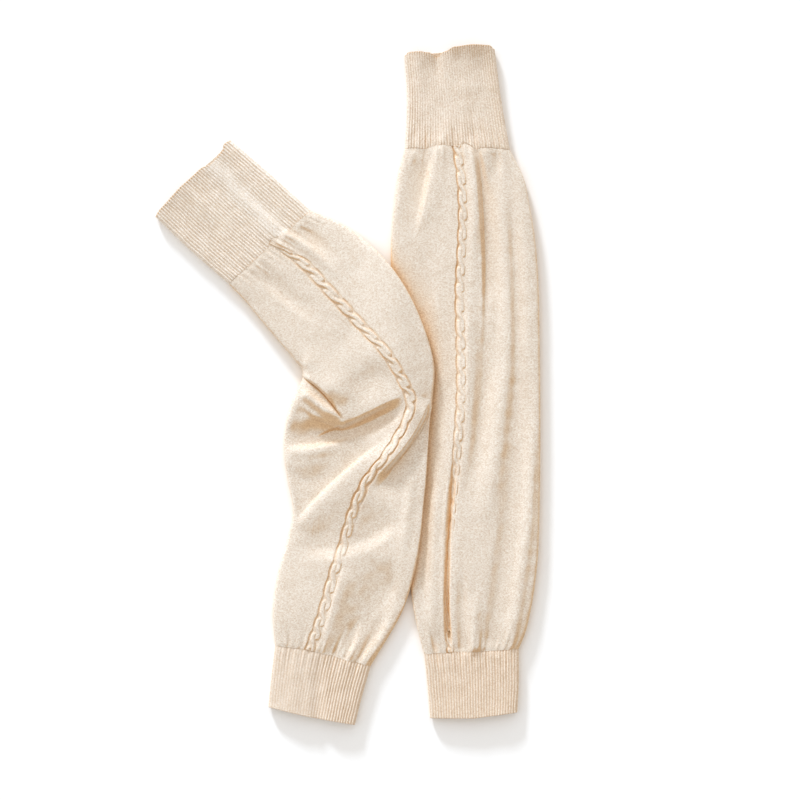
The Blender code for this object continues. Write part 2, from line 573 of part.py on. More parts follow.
def build_cuff(name, tube, ribs, rows, hollow_lines, material):
    """A ribbed cuff: two lines for each rib, on its crest and in the groove beside it."""
    relief = rib_relief(ribs)
    outermost_crest = 1 - 2 / ribs
    front = [(fixed(-1.0), rows, plain_relief), (even_line(tube, -ROUND_EDGE), rows, plain_relief)]
    for share in np.linspace(-outermost_crest, outermost_crest, 2 * ribs - 3):
        front.append((even_line(tube, share), rows, relief(share)))
    front += [(even_line(tube, ROUND_EDGE), rows, plain_relief), (fixed(1.0), rows, plain_relief)]
    build_tube(name, tube, front, hollow_lines, rows[::2], material)


def knit_material(name, colour):
    """Pale cream knit."""
    material = bpy.data.materials.new(name)
    material.use_nodes = True
    shader = material.node_tree.nodes["Principled BSDF"]
    shader.inputs["Base Color"].default_value = (*colour, 1.0)
    shader.inputs["Roughness"].default_value = KNIT_ROUGHNESS
    shader.inputs["Metallic"].default_value = 0.0
    shader.inputs["Sheen Weight"].default_value = KNIT_SHEEN
    return material


def build_straight():
    """The straight leg warmer."""
    knit = knit_material("straight_knit", KNIT_COLOUR)
    rib = knit_material("straight_rib", RIB_COLOUR)
    cuff = Tube(STRAIGHT_TOP_CUFF, STRAIGHT_CUFF_FOLDS, STRAIGHT_LIP, wall=CUFF_WALL)
    body = Tube(STRAIGHT_BODY, STRAIGHT_FOLDS)
    hem = Tube(STRAIGHT_BOTTOM_CUFF, (), wall=CUFF_WALL)
    build_cuff("straight_top_cuff", cuff, RIBS_TOP, TOP_CUFF_ROWS, HOLLOW_LINES_TOP, rib)
    build_body("straight_body", body, STRAIGHT_FINENESS, knit)
    build_cuff("straight_bottom_cuff", hem, RIBS_BOTTOM, BOTTOM_CUFF_ROWS, HOLLOW_LINES_BOTTOM, rib)


def build_bent():
    """The bent leg warmer, which lies over the straight one's left edge."""
    knit = knit_material("bent_knit", KNIT_COLOUR)
    rib = knit_material("bent_rib", RIB_COLOUR)
    cuff = Tube(BENT_TOP_CUFF, BENT_CUFF_FOLDS, BENT_LIP, lift, wall=CUFF_WALL)
    body = Tube(BENT_BODY, BENT_FOLDS, lifted=lift)
    hem = Tube(BENT_BOTTOM_CUFF, (), lifted=lift, wall=CUFF_WALL)
    build_cuff("bent_top_cuff", cuff, RIBS_TOP, TOP_CUFF_ROWS, HOLLOW_LINES_TOP, rib)
    build_body("bent_body", body, BENT_FINENESS, knit)
    build_cuff("bent_bottom_cuff", hem, RIBS_BOTTOM, BOTTOM_CUFF_ROWS, HOLLOW_LINES_BOTTOM, rib)


def clear_scene():
    """Remove whatever the file started with."""
    for old in list(bpy.data.objects):
        bpy.data.objects.remove(old, do_unlink=True)


clear_scene()
build_straight()
build_bent()
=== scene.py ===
"""The looks of a pair of knitted leg warmers, laid flat, one straight and one bent over it.

Each leg warmer has three tubes: a wide ribbed cuff, a plain body and a narrow ribbed cuff. Every
tube is a thin wall round a hollow, on the form of its solid in the frame and finer than it, and a
rope cable lies along the front of each body. All sizes are millimetres until a mesh is made.
"""
from collections import namedtuple
from dataclasses import dataclass

import bpy
import numpy as np
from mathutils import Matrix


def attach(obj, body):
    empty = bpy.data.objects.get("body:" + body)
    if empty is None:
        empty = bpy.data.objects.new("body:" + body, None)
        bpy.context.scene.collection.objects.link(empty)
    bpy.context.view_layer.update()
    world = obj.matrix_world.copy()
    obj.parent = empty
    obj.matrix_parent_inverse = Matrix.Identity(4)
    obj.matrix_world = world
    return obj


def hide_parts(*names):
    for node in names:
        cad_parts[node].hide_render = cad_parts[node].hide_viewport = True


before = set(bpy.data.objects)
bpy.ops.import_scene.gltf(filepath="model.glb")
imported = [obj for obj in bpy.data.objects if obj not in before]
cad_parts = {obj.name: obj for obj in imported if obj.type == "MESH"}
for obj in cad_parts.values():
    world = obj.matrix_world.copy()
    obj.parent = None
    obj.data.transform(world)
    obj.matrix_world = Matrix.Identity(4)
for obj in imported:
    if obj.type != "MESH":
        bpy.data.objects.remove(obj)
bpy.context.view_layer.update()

# ---- driving sizes, millimetres
METRES = 0.001
ORIGIN_SHIFT = (-0.1, 0.16)  # puts the middle of the whole pair over the origin

BODY_WALL = 1.7  # soft plain knit
CUFF_WALL = 1.8  # denser rib
SEAM_GAP = 0.05  # between two linked pieces
EDGE_LEVEL = 3.4  # height at which a laid tube is widest
UNDER_RADIUS = 4.0  # rounding below that level, down to the floor
DOME_POWER = 5.5  # how square the rounded top of a laid tube is
STRAIGHT_BLEND = 0.6  # share of the half width over which the middle's crown becomes the side's
BENT_BLEND = 0.9  # and on the bent body
LEAST_THICKNESS = 5.6  # least height of a laid tube away from its edges
FOLD_EDGE = 8.0  # folds fade over this width at a tube's side edges
USUAL_HALF = 55.0  # half width of a tube, where a rough one will do
INNER_MARGIN = 3.0  # from a tube's side edge to its hollow
HOLLOW_SIDE_HEIGHT = 1.2  # height of the hollow along both of its sides
HOLLOW_LEAST_HEIGHT = 2.0  # and elsewhere, at the least
HOLLOW_ALONG = (-4.0, 0.0, 4.0)  # its top stays a wall's thickness below the front this far round
HOLLOW_ACROSS = (-6.0, -3.0, 0.0, 3.0, 6.0)
LIFT_HEIGHT = 8.0  # how high the bent one is carried over its neighbour's edge
LIFT_BEFORE = ((-185.0, 12.0), (-148.0, 36.0))  # how far before that edge it begins, at each y
LIFT_BEYOND = 10.0  # how far beyond the edge it is full

WALE_PITCH = 1.45  # width of one column of plain stitches
ROW_PITCH = 1.08  # height of one row of stitches
RIBS_TOP = 38  # ribs across the front of a wide cuff
RIBS_BOTTOM = 33  # and of a narrow one
RIB_RISE = 0.95  # how far a rib stands out of its grooves
RIB_CREST = 0.62  # the smaller this is, the broader is a rib and the narrower its groove
BEAD_SHARE = 0.5  # share of a rib's rise that varies from stitch to stitch
BEAD_SIZE = 1.2  # half the length of one such bead
STRAIGHT_HEM_SHADE = 0.63  # painted crease shade laid all over its narrow cuff
BENT_HEM_SHADE = 0.7  # and the bent one's

STRAIGHT_CABLE_HALF = 4.2  # half of the rope cable's width on the straight one
BENT_CABLE_HALF = 4.8  # and on the bent one
CABLE_PITCH = 15.7  # length of one crossing
CROSSING_SHARE = 0.62  # share of the pitch that a crossing takes
STRAND_HALF_WIDTH = 0.6  # half of one strand's width, in half widths of the cable
STRAND_LANE = 0.42  # in the same measure, how far it lies from the middle between crossings
STRAND_POWER = 2.2  # how square a strand's section is
STRAND_RISE = 1.2  # how far a strand stands out
STRAND_OVER = 0.3  # how much higher it is where it crosses over the other
STRAND_UNDER = 1.3  # how much lower where it crosses under
STRAND_LOWEST = -0.9  # height below which no strand shows
CROSSING_WANDER = 0.08  # how unevenly the crossings follow each other, in crossings
CABLE_NOTCH = 0.16  # share of its width that the cable loses at a crossing
CABLE_BED = 1.3  # depth of the bed that the cable lies in, beside a sharp crease
BED_LEAST = 0.12  # share of that depth beside a soft one
CABLE_SUNK = 0.55  # share of that depth by which the cable is lowered
CABLE_EDGE_DROP = 1.1  # how far its edges lie below its middle
CABLE_EDGE = 0.25  # half widths of the cable over which they do
BED_FLAT = 0.82  # half width of the bed's flat bottom, in half widths of the cable
BED_WIDE = 1.65  # half width of its rim beside a soft crease
BED_NARROW = 1.12  # and beside a sharp one
GUTTER_DEPTH = 0.8  # the purl gutter at each side of the cable
GUTTER_PLACE = 1.06  # its middle, in half widths of the cable
GUTTER_HALF_WIDTH = 0.13  # in the same measure
GUTTER_CREASE_SHADE = 0.9  # its middle gets this much painted crease shade

SEAM_DIP = 0.15  # how far a cuff dips into a linked seam, below the body's puffs
SEAM_DIP_REACH = 1.5  # within about this distance
PUSH_REACH = 7.0  # how far from a seam the gathers still push it aside
CUFF_GATHER = 0.56  # share of the gathers' height that reaches into a cuff
GATHER_AT_SEAM = 0.6  # share of a body's gather that is left right at its seam
GATHER_START = 4.0  # a gather is highest this far from its seam
SEAM_RIPPLE = 0.28  # height of the small gathers all along a seam
SEAM_RIPPLES = 15  # how many of them across the front
RIPPLE_WANDER = 0.3  # how uneven they are, in ripples
RIPPLE_PLACE = 5.0  # they are highest this far from the seam
RIM_RADIUS = 0.8  # rounding of an open mouth's rim
RIM_CREASE_SHADE = 0.9  # a wide cuff's rim gets this much painted crease shade
RIM_CREASE_SHADE_REACH = 2.6  # within this distance
LIP_REACH = 0.55  # share of a cuff over which the wave of its mouth runs out
FLARE_REACH = 24.0  # how far from an open mouth its front is lifted

# Small unevenness: its height, and half of its waves' length in X and in Y.
CLOTH_UNEVEN = ((0.16, 5.5, 7.0), (0.22, 11.0, 17.0))
RIB_UNEVEN = ((0.2, 7.0, 8.0),)
RIB_WANDER = ((0.1, 9.0, 13.0),)  # in ribs


def table(kind, *rows):
    """A table whose rows are of one kind."""
    return tuple(kind(*row) for row in rows)


# Points of the floor plan are those of the part's source: X to the right and Y up.

# ---- sections
# A section runs across a tube through three points of the floor plan, from its left edge over
# the middle line, where the cable is, to its right edge. The three crowns are the heights of the
# front at the left part, the middle and the right part. Sections run from top to bottom.
Section = namedtuple("Section", "left middle right left_crown crown right_crown")

STRAIGHT_TOP_CUFF = table(
    Section,
    ((48.4, 288.1), (87.1, 291.5), (125.8, 293.3), 9.2, 9.8, 10),
    ((51, 245.1), (90.5, 246), (131.8, 246.8), 9.2, 9.9, 9.6),
    ((49.2, 203), (94, 204.7), (139.5, 202.1), 9.2, 10.6, 9.4),
)
STRAIGHT_BODY = STRAIGHT_TOP_CUFF[-1:] + table(
    Section,
    ((43.2, 179.7), (97.4, 179.7), (150.7, 179.7), 11, 13, 11.6),
    ((39.8, 153.9), (99.1, 153.9), (156.7, 153.9), 11.6, 13.6, 13.2),
    ((37.2, 120.4), (98.3, 120.4), (161.9, 120.4), 9.6, 13.4, 12.8),
    ((37.2, 81.7), (96.5, 81.7), (164.5, 81.7), 7.2, 13, 12.4),
    ((38.9, 34.4), (97.4, 34.4), (165.3, 34.4), 5.8, 12.6, 12.2),
    ((41.5, -12.9), (97.4, -12.9), (165.8, -12.9), 5.8, 12.4, 12.2),
    ((44.9, -60.2), (94, -60.2), (165.8, -60.2), 5.8, 12.6, 12.4),
    ((48.4, -107.5), (90.5, -107.5), (165.3, -107.5), 7, 12.8, 12.4),
    ((51.8, -150.5), (87.1, -150.5), (163.6, -150.5), 7.8, 12.8, 12.2),
    ((56.1, -189.2), (85.4, -189.2), (158.5, -189.2), 9.4, 12.2, 11.6),
    ((61.3, -215), (87.1, -215), (152.4, -215), 9.4, 10.8, 10.8),
    ((65.6, -231.3), (88.8, -229.6), (147.3, -227), 9.3, 9.8, 9.5),
)
STRAIGHT_BOTTOM_CUFF = STRAIGHT_BODY[-1:] + table(
    Section,
    ((68.2, -255.4), (98.7, -255.4), (147.3, -254.6), 9.2, 9.8, 9.4),
    ((70.7, -286.5), (108.6, -286.5), (145.9, -281.5), 9.2, 9.8, 9.4),
)
BENT_TOP_CUFF = table(
    Section,
    ((-167.2, 146.2), (-134.6, 179.6), (-102.8, 212.2), 9.2, 9.8, 9.2),
    ((-133.9, 114.4), (-99.5, 147.9), (-66, 180.6), 9.2, 9.8, 9.2),
    ((-102.1, 86.4), (-64.4, 121), (-31.6, 149.6), 9, 10.4, 9),
)
BENT_BODY = table(
    Section,
    ((-102.1, 86.4), (-64.4, 121), (-31.6, 149.6), 9.2, 10.4, 9.6),
    ((-88.4, 72.2), (-38.9, 104.5), (-4.1, 137.6), 10.2, 12.4, 11.6),
    ((-73.7, 54.2), (-14.6, 79.1), (23.4, 117), 11.6, 14.4, 13.4),
    ((-59.1, 37), (10.5, 51.6), (47.5, 86.9), 13.6, 16, 13),
    ((-46.2, 21.5), (33.5, 26), (65.6, 49), 16.2, 15.2, 11),
    ((-38.5, 7.7), (47.5, 2.5), (74.2, 17.2), 16.2, 13.2, 9),
    ((-47.9, -14.6), (54.6, -16.3), (73.3, -6), 15.6, 11.6, 7.8),
    ((-52, -28), (52.2, -28.5), (72.2, -18), 14, 10.2, 7.4),
    ((-54, -38.7), (46.6, -39.2), (70.7, -30.1), 10.4, 9.4, 7),
    ((-54.8, -60.2), (32.6, -61.1), (69, -55.9), 11, 11.4, 6.4),
    ((-51.4, -83.4), (17.2, -80.8), (67.3, -81.7), 11.4, 12.6, 6),
    ((-47.1, -109.2), (6, -105.8), (64.7, -107.5), 11.2, 12.6, 5.8),
    ((-52.2, -135), (-2, -133.3), (62.1, -134.2), 10.8, 12.4, 7),
    ((-60, -162.5), (-11.5, -162.5), (57, -161.7), 10.6, 12.4, 8.4),
    ((-64.3, -191.8), (-20.2, -194.4), (47.5, -193.5), 10.4, 11.8, 8.6),
    ((-62.6, -223.6), (-32, -227.9), (20, -241.7), 9.2, 9.8, 9.4),
)
BENT_BOTTOM_CUFF = BENT_BODY[-1:] + table(
    Section,
    ((-66, -251.1), (-30.3, -258.6), (12.3, -268.3), 9.2, 9.8, 9.4),
    ((-68.6, -276.9), (-32.5, -285.5), (6.2, -292.4), 9.2, 9.8, 9.4),
)

# ---- folds
# A fold is a soft ridge, or a trough where its height is negative, along a curve of the floor
# plan through three points. Its two widths are how far it reaches to each hand, seen from start to
# end, and it fades over the given share of its length at each end.
Fold = namedtuple("Fold", "start middle end height left_width right_width fade_in fade_out")

STRAIGHT_FOLDS = table(
    Fold,
    # across the top seam
    ((80, 193), (84, 215), (92, 236), 1.4, 9, 9, 0.25, 0.6),
    ((56.1, 193), (57, 213), (60, 232), -1.4, 7, 7, 0.25, 0.6),
    ((108, 193), (104, 213), (98, 228), -0.8, 6, 6, 0.25, 0.6),
    # beside the cable
    ((70, 206), (63, 165), (52, 118), -3.6, 6, 22, 0.35, 0.5),
    ((80.2, 206), (71, 163.4), (61.3, 107.5), 1.4, 14, 8, 0.2, 0.6),
    ((93, 120), (92, 30), (93.5, -50), -2.8, 6, 17, 0.4, 0.3),
    ((104.4, 214), (109.2, 156.2), (105.1, 47.3), 2.2, 8, 7, 0.2, 0.5),
    ((104, 90), (103.5, 20), (101, -50), 1.6, 9, 6, 0.3, 0.3),
    ((109.9, 208), (118.5, 129), (117.8, 20), -3.8, 30, 5, 0.3, 0.35),
    ((118.5, 70), (115.5, -25), (99, -112), -3, 24, 10, 0.3, 0.35),
    ((115.5, 206), (118.9, 184.9), (124.1, 159.1), 1.4, 6, 5, 0.3, 0.6),
    ((124.9, 206), (128.4, 189.2), (130.9, 172), -1.8, 6, 5, 0.4, 0.6),
    # long folds over the right half
    ((122.6, 193.5), (134.5, 107.5), (134, -24), 1.8, 9, 10, 0.4, 0.3),
    ((137, 200.4), (145, 98.9), (146, -42), -2.2, 10, 8, 0.4, 0.35),
    ((134.5, 36), (125, -62), (112, -150), 2.6, 12, 14, 0.3, 0.5),
    ((147.5, 50), (142.5, -75), (122.6, -234), -3, 20, 13, 0.35, 0.05),
    ((157, -12.9), (155, -120), (136, -234), 1.6, 8, 10, 0.3, 0.1),
    ((111, -176.3), (109.5, -202.1), (108.6, -234), 1.8, 7, 7, 0.4, 0.1),
    ((99.1, -150.5), (98.3, -189.2), (100, -234), -1.8, 7, 7, 0.5, 0.1),
    # the narrow crack that takes in the lower cable, and the strip at its left
    ((96, -46), (87.2, -140), (88.6, -234), -3.8, 3, 6, 0.3, 0.12),
    ((80.2, -48.8), (73.5, -131.9), (73.3, -226), 1.8, 8, 9, 0.4, 0.1),
)
BENT_FOLDS = table(
    Fold,
    # over the wide cuff and its seam
    ((-122, 197), (-89, 159.7), (-44, 117), 1.8, 9, 12, 0, 0.25),
    # upper half
    ((-58, 132), (-29, 112.9), (-2.4, 84), 2.6, 6, 8, 0.1, 0.6),
    ((-43.9, 143.5), (-27.3, 124), (-8.1, 104.1), -2.4, 9, 6, 0.4, 0.6),
    ((-84.3, 105.6), (-50.9, 75.8), (-12.4, 47.4), -2.4, 13, 10, 0.35, 0.5),
    ((-16, -14), (4, 12), (34, 40), 2.8, 28, 24, 0.2, 0.3),
    # the bend: the lip over the crack, the crack, the tongue below it, and the deep valley
    ((-44.2, 13.6), (-18.6, -4.4), (-1.8, -29.8), 3.2, 26, 2.4, 0.1, 0.5),
    ((-44.5, 11.5), (-19.5, -7), (-3, -32), -3, 1.5, 2.8, 0, 0.2),
    ((-41, -4), (-25, -16.5), (-4, -31), 3.4, 6, 8, 0.2, 0.35),
    ((-44, -16), (-28, -31), (-2, -38.5), -2, 5, 16, 0.25, 0.3),
    ((-56, -50), (-24, -48.5), (3, -40.5), -3.4, 24, 6, 0.3, 0.35),
    ((-5, -34), (13, -25), (50, -6), 3.4, 30, 5, 0, 0.3),
    ((-16, -42.5), (13, -34.5), (54, -14), -4, 9, 13, 0.25, 0.25),
    ((-54, -59), (-24, -55.5), (5, -49.5), 1, 8, 9, 0.05, 0.5),
    # the next hollow, and the ridge with a steep upper side that crosses to the lower left
    ((-54, -74), (-32, -80), (-4, -70), -1.3, 14, 14, 0.05, 0.4),
    ((27, -49), (-11, -80), (-48, -118), -3, 3, 32, 0.25, 0.3),
    ((34, -50), (-4.5, -83.5), (-44, -124.5), 1.4, 22, 7, 0.25, 0.1),
    ((-48, -135), (2, -136), (44, -109), -3.2, 40, 13, 0.3, 0.25),
    # the folded edge at the right of the cable, and the hollow in its shade
    ((70, -11), (52.6, -46.4), (20.5, -81.4), 4.2, 3.8, 21, 0.2, 0.3),
    ((74.5, -14), (55.6, -50.2), (23, -85), -3.6, 14, 4.5, 0.15, 0.3),
    ((76, -20), (54, -58), (20, -96), -2.6, 36, 8, 0.2, 0.2),
    # lower half
    ((57, -65.9), (51.8, -107.5), (41.5, -184.9), 1.4, 8, 8, 0.3, 0.4),
    ((46, -114), (28, -140), (4, -150), 0.5, 20, 8, 0.3, 0.3),
    ((44, -146), (31, -186), (10, -238.2), -3.8, 12, 40, 0.55, 0.3),
    ((42.4, -167.7), (24.3, -204.1), (-1.4, -238.2), 0.8, 7, 7, 0.4, 0.1),
    ((34, -198), (21, -217), (7, -240), -1.3, 6, 9, 0.4, 0.35),
    ((0.4, -154.8), (-10.8, -184.9), (-21.1, -230.6), 1.6, 15, 5, 0.3, 0.2),
    ((9.5, -196), (4.5, -216), (-4, -238), -1.6, 5, 8, 0.4, 0.1),
)
STRAIGHT_CUFF_FOLDS = STRAIGHT_FOLDS + table(
    Fold,
    ((77, 300), (76.5, 277), (82, 246), -1.8, 7, 8, 0, 0.6),
    ((60, 300), (62, 272), (64, 240), 1.2, 9, 9, 0, 0.6),
    ((104, 300), (106, 262), (112, 228), 1.2, 12, 12, 0, 0.6),
)
BENT_CUFF_FOLDS = BENT_FOLDS + table(
    Fold,
    ((-102, 181), (-77, 155), (-48, 133), -1.2, 12, 7, 0.3, 0.5),
    ((-148, 175), (-128, 156), (-104, 136), 1.8, 9, 24, 0, 0.6),
)
BENT_HEM_FOLDS = BENT_FOLDS + table(
    Fold,
    ((-24, -225), (-25, -258), (-26, -296), -1.8, 9, 9, 0.5, 0),
    ((-44, -225), (-46, -256), (-49, -290), 0.8, 10, 10, 0.4, 0),
)

# ---- mouths
# How far a wavy mouth is drawn in at a place across it: -1 is the left edge and 1 the right one.
STRAIGHT_LIP = ((-1, 5.2), (-0.9, 2.6), (-0.7, 2.8), (-0.45, 4.6), (-0.31, 9), (-0.1, 4.6),
                (0.12, 1.5), (0.52, 0.4), (0.88, 1.2), (1, 4.6))
BENT_LIP = ((-1, 2.2), (-0.87, 1), (-0.33, 0.4), (0.2, 1.4), (0.44, 5), (0.73, 4.2), (0.87, 1.2),
            (1, 2.2))
PLAIN_LIP = ((-1, 0), (1, 0))
# The same for the back, which shows in the mouth where the two differ.
STRAIGHT_BACK_LIP = ((-1, 5.2), (-0.7, 4.2), (-0.3, 4.4), (0.1, 3.6), (0.6, 2.4), (1, 4.6))
BENT_BACK_LIP = ((-1, 2.2), (-0.5, 2), (0.3, 1.6), (0.6, 2.6), (1, 2.2))

# How far the front of an open mouth is lifted off the back at a place across it.
STRAIGHT_FLARE = ((-1, 0), (-0.72, 1.6), (-0.42, 2.4), (-0.28, 0.2), (-0.14, 0.6), (0.14, 4.2),
                  (0.6, 3.8), (0.9, 1.8), (1, 0))
BENT_FLARE = ((-1, 0), (-0.8, 1.2), (-0.3, 1.8), (0.25, 1.4), (0.45, 0.2), (0.75, 1.6), (1, 0))
BOTTOM_FLARE = ((-1, 0), (-0.5, 0.8), (0.1, 0.3), (0.6, 0.9), (1, 0))

# ---- shoves and gathers
# A shove moves the front's points beside a curve towards it, so that the cloth there overhangs.
# It moves those on one side, 1 for the left hand and -1 for the right, seen from start to end.
Shove = namedtuple("Shove", "start middle end side shift width")
SHOVE_FADE = 0.2  # share of the curve over which a shove fades at each end
SHOVE_START = 0.4  # it fades within this distance of the curve itself
STRAIGHT_SHOVES = table(
    Shove,
    ((96, -80), (88.6, -140), (88.8, -226), 1, 1.4, 9),
    ((93.6, -80), (86.4, -140), (87.4, -222), -1, 0.6, 7),
)
BENT_SHOVES = table(
    Shove,
    ((-44.5, 11.5), (-19.5, -7), (-3, -32), 1, 2.6, 9),
    ((74.5, -14), (55.6, -50.2), (23, -85), -1, 1.2, 9),
)

# A gather is a puff where a body's fuller cloth is linked to a cuff. Its place and width are
# shares across the front from -1 (left) to 1 (right), and push is how far it moves the seam up.
Gather = namedtuple("Gather", "across width rise push reach")
STRAIGHT_TOP_GATHERS = table(
    Gather,
    (-0.86, 0.15, 1.2, 0.6, 16), (-0.62, 0.09, -1, -1.2, 14), (-0.33, 0.22, 1.6, 2.2, 20),
    (-0.03, 0.07, -0.5, -0.4, 10), (0.16, 0.11, 1.8, 3.6, 26), (0.36, 0.07, -1.6, -1.6, 22),
    (0.6, 0.2, 1.3, 0.9, 18), (0.88, 0.1, 0.8, 0.2, 14),
)
STRAIGHT_BOTTOM_GATHERS = table(
    Gather,
    (-0.84, 0.14, 0.9, -0.4, 14), (-0.57, 0.07, -1.2, 0.5, 16), (-0.3, 0.13, 0.8, -0.4, 16),
    (-0.08, 0.1, 0.9, -0.3, 14), (0.1, 0.08, -0.9, 0.3, 12), (0.34, 0.15, 1.1, -0.6, 20),
    (0.66, 0.14, 0.9, -0.4, 16), (0.9, 0.08, 0.6, 0, 12),
)
BENT_TOP_GATHERS = table(
    Gather,
    (-0.82, 0.14, 0.9, 0.5, 14), (-0.52, 0.12, 0.8, 0.4, 16), (-0.26, 0.12, 0.8, 0.4, 18),
    (0.06, 0.11, 1.8, 4.2, 26), (0.42, 0.08, -1, -0.6, 16), (0.66, 0.14, 1, 0.6, 16),
    (0.9, 0.08, 0.7, 0.2, 12),
)
BENT_BOTTOM_GATHERS = table(
    Gather,
    (-0.8, 0.16, 0.9, -0.4, 14), (-0.45, 0.12, 0.7, -0.3, 14), (-0.12, 0.1, 0.8, -0.3, 14),
    (0.14, 0.12, 0.9, -0.4, 18), (0.38, 0.07, -1.1, 0.4, 18), (0.58, 0.12, 1.2, -0.6, 20),
    (0.76, 0.06, -0.9, 0.3, 16), (0.9, 0.08, 1, -0.3, 16),
)

# ---- how the cables lie
# Where a crack closes over a cable or a seam pinches it: the place along, the share of the cable's
# width that is left, and how much deeper it lies there.
STRAIGHT_SQUEEZE = ((0, 1, 0), (0.55, 1, 0), (0.66, 0.8, 0.3), (0.76, 0.6, 0.6), (0.92, 0.55, 0.6),
                    (1, 0.8, 0.2))
BENT_SQUEEZE = ((0, 0.5, 0.5), (0.09, 1, 0), (1, 1, 0))
# How sharp the crease at each side of the cable is: the place along, then left and right.
STRAIGHT_BESIDE = ((0, 1, 0.1), (0.45, 1, 0.1), (0.62, 0.5, 0.3), (0.95, 0.3, 0.3), (1, 0.8, 0.2))
BENT_BESIDE = ((0, 0.1, 0.2), (0.07, 0.7, 0.6), (0.62, 0.9, 0.9), (0.72, 0.65, 0.05),
               (1, 0.55, 0))

# ---- mesh fineness
# How far the columns at each side of the cable are from its middle.
NEAR_CABLE = (1.2, 1.8, 2.2, 2.6, 3.0, 3.6, 4.1, 4.5, 4.9, 5.4, 6.1, 6.9)
USUAL_HEIGHT = 8  # height and half width of the dome that the other columns are spread over
USUAL_REACH = 60
COLUMNS_A_RIB = 7
EDGE_COLUMNS = (0.35, 0.62, 0.8, 0.92, 0.985, 1.0)  # shares of a cuff's last half rib
BACK_COLUMNS = 24
BACK_EDGE = (0.998, 0.991, 0.978, 0.96, 0.94)  # places of those nearest to each edge
BACK_EVEN = 0.88  # and where the evenly spaced ones begin
END_ROWS = (0.0, 0.12, 0.35, 0.7)  # rows next to each end, in shares of the rim's rounding
END_STEP = 0.5  # from the last of these to the first of the even ones
TOP_CUFF_ROWS = (112, 14)  # of the outer face and of the hollow's
BOTTOM_CUFF_ROWS = (80, 14)
BODY_ROWS = (410, 26)
STRAIGHT_COLUMNS = (78, 92)  # left and right of the cable
BENT_COLUMNS = (100, 70)
CURVE_POINTS = 20  # on a fold's curve
CABLE_COLUMNS = 32
CABLE_ROW = 0.62  # distance between a cable's rows
CABLE_ENDS = 0.3  # how far its ends stay from the seams
CABLE_TUCK = 1.03  # its edges, in its own half widths, lie below the body's face
PARTING_WIDTH = 0.16  # height within which two strands count as touching, for the painted shade line between them

# ---- colours and finish, linear
# The tones are what stitches, heather and cells add on the way from the shade to the colour; the
# stitches' tone is painted shade in the grooves between their legs and wales, while heather and
# cells are the yarn's own tone. The sway is in stitches and the bumps are in millimetres.
Look = namedtuple("Look", "colour shade stitch_tone heather_tone cell_tone sway stitch_bump "
                          "heather_bump crease_share hollow_share")
KNIT_LOOK = Look((1.0, 0.94, 0.87), (0.74, 0.63, 0.54), 0.45, 0.56, 0.42, 0.5, 0.42, 0.28, 0.8, 1.0)
RIB_LOOK = Look((1.0, 0.925, 0.85), (0.74, 0.62, 0.525), 0.45, 0.5, 0.35, 0.3, 0.36, 0.25, 0.8,
                0.4)
# The bent one's ribs are painted lighter, with less painted shade, to offset the shade that falls
# across them.
BENT_RIB_LOOK = RIB_LOOK._replace(colour=(1.0, 0.955, 0.91), shade=(0.79, 0.69, 0.6),
                                  hollow_share=0.2)
SWAY_WAVES = 260.0  # waves a metre of the stitches' sway along a row
LEAN_WAVES = 340.0  # and of that along a wale
CLOUD_WAVES = 90.0
CLOUD_TONE = 0.3
HEATHER_WAVES = 1450.0
HEATHER_LEAN = (0.9, 0.5)  # the turn of its grain, and how far it is drawn out
HEATHER_RANGE = (0.36, 0.64)
TONE_RANGE = (0.05, 0.95)  # shares of all tones together, from full shade to full colour
FUZZ_WAVES = 2600.0
FUZZ_BUMP = 0.12
BUMP_STRENGTHS = (0.8, 0.7, 0.5)  # of the stitches, the heather and the fuzz
LEG_SLANT = 0.9  # rows that a stitch's legs climb from its middle
HOLLOW_SHADE_TINT = (0.94, 0.72, 0.52)  # painted shade, times the yarn's own colour, in hollows
HOLLOW_SHADE_REACH = 20.0  # how far round a point its open sky is judged, in millimetres
HOLLOW_SHADE_RAYS = 5
HOLLOW_SHADE_RANGE = (0.03, 0.6)  # shares of that sky shut off, from where the painted shade begins to full
AWAY_SHADE_TINT = (0.94, 0.77, 0.6)  # painted shade, the same, where the cloth is turned away from the key light
AWAY_SHADE_RANGE = (0.1, 0.4)  # how much less of that light it gets there than the floor does
UPWARD_SHADE_RANGE = (0.35, 0.8)  # how upright a face's normal is, from where that painted shade begins to full
# Painted crease shade: the colour laid into cable gutters, strand partings, rib grooves, a wide
# cuff's rim, the hollow's face and over the narrow cuffs.
CREASE_SHADE_COLOUR = (0.64, 0.42, 0.26)
CREASE_SHADE_RANGE = (0.55, 1.0)  # depths of painted crease shade, from where that colour begins to full
INSIDE_CREASE_SHADE = 0.55  # the hollow's face gets this much painted crease shade
ROUGHNESS = (1.0, 0.86)  # in full shade and in full colour
SPECULAR = 0.18
SHEEN = 0.25
SHEEN_ROUGHNESS = 0.55
SHEEN_TINT = (1.0, 0.93, 0.84, 1.0)
# The picture's curves: its greens and blues fall off faster towards the shadows than its reds.
GREEN_FALL = 1.1
BLUE_FALL = 1.22
FALL_LEVELS = (0.1, 0.25, 0.5, 0.75)

# ---- surroundings
FRAME_WIDTH = 688.0  # width of the photo's frame on the surface
FRAME_MIDDLE = (44.83, -12.74)
FRAMED_HEIGHT = 6.0  # height above the floor at which that width is true
LENS = 120.0
SENSOR = 36.0
FLOOR_HALF_SIZE = 6.0  # metres
FLOOR_WHITE = (0.95, 0.96)  # from grain to grain
FLOOR_WAVES = 900.0
SURROUND = 0.655  # strength of the white surround
# A light's strength, how many degrees it is across, which sets how soft its shadows are, how far
# it is tilted from straight above, and the direction that it comes from, from +X on the floor plan.
Lamp = namedtuple("Lamp", "name strength across tilt turn")
LAMPS = (Lamp("key", 2.5, 8, 73.5, 112), Lamp("fill", 0.95, 100, 42, 125))


def smoothstep(x):
    """Ease from 0 to 1."""
    x = np.clip(x, 0.0, 1.0)
    return x * x * (3.0 - 2.0 * x)


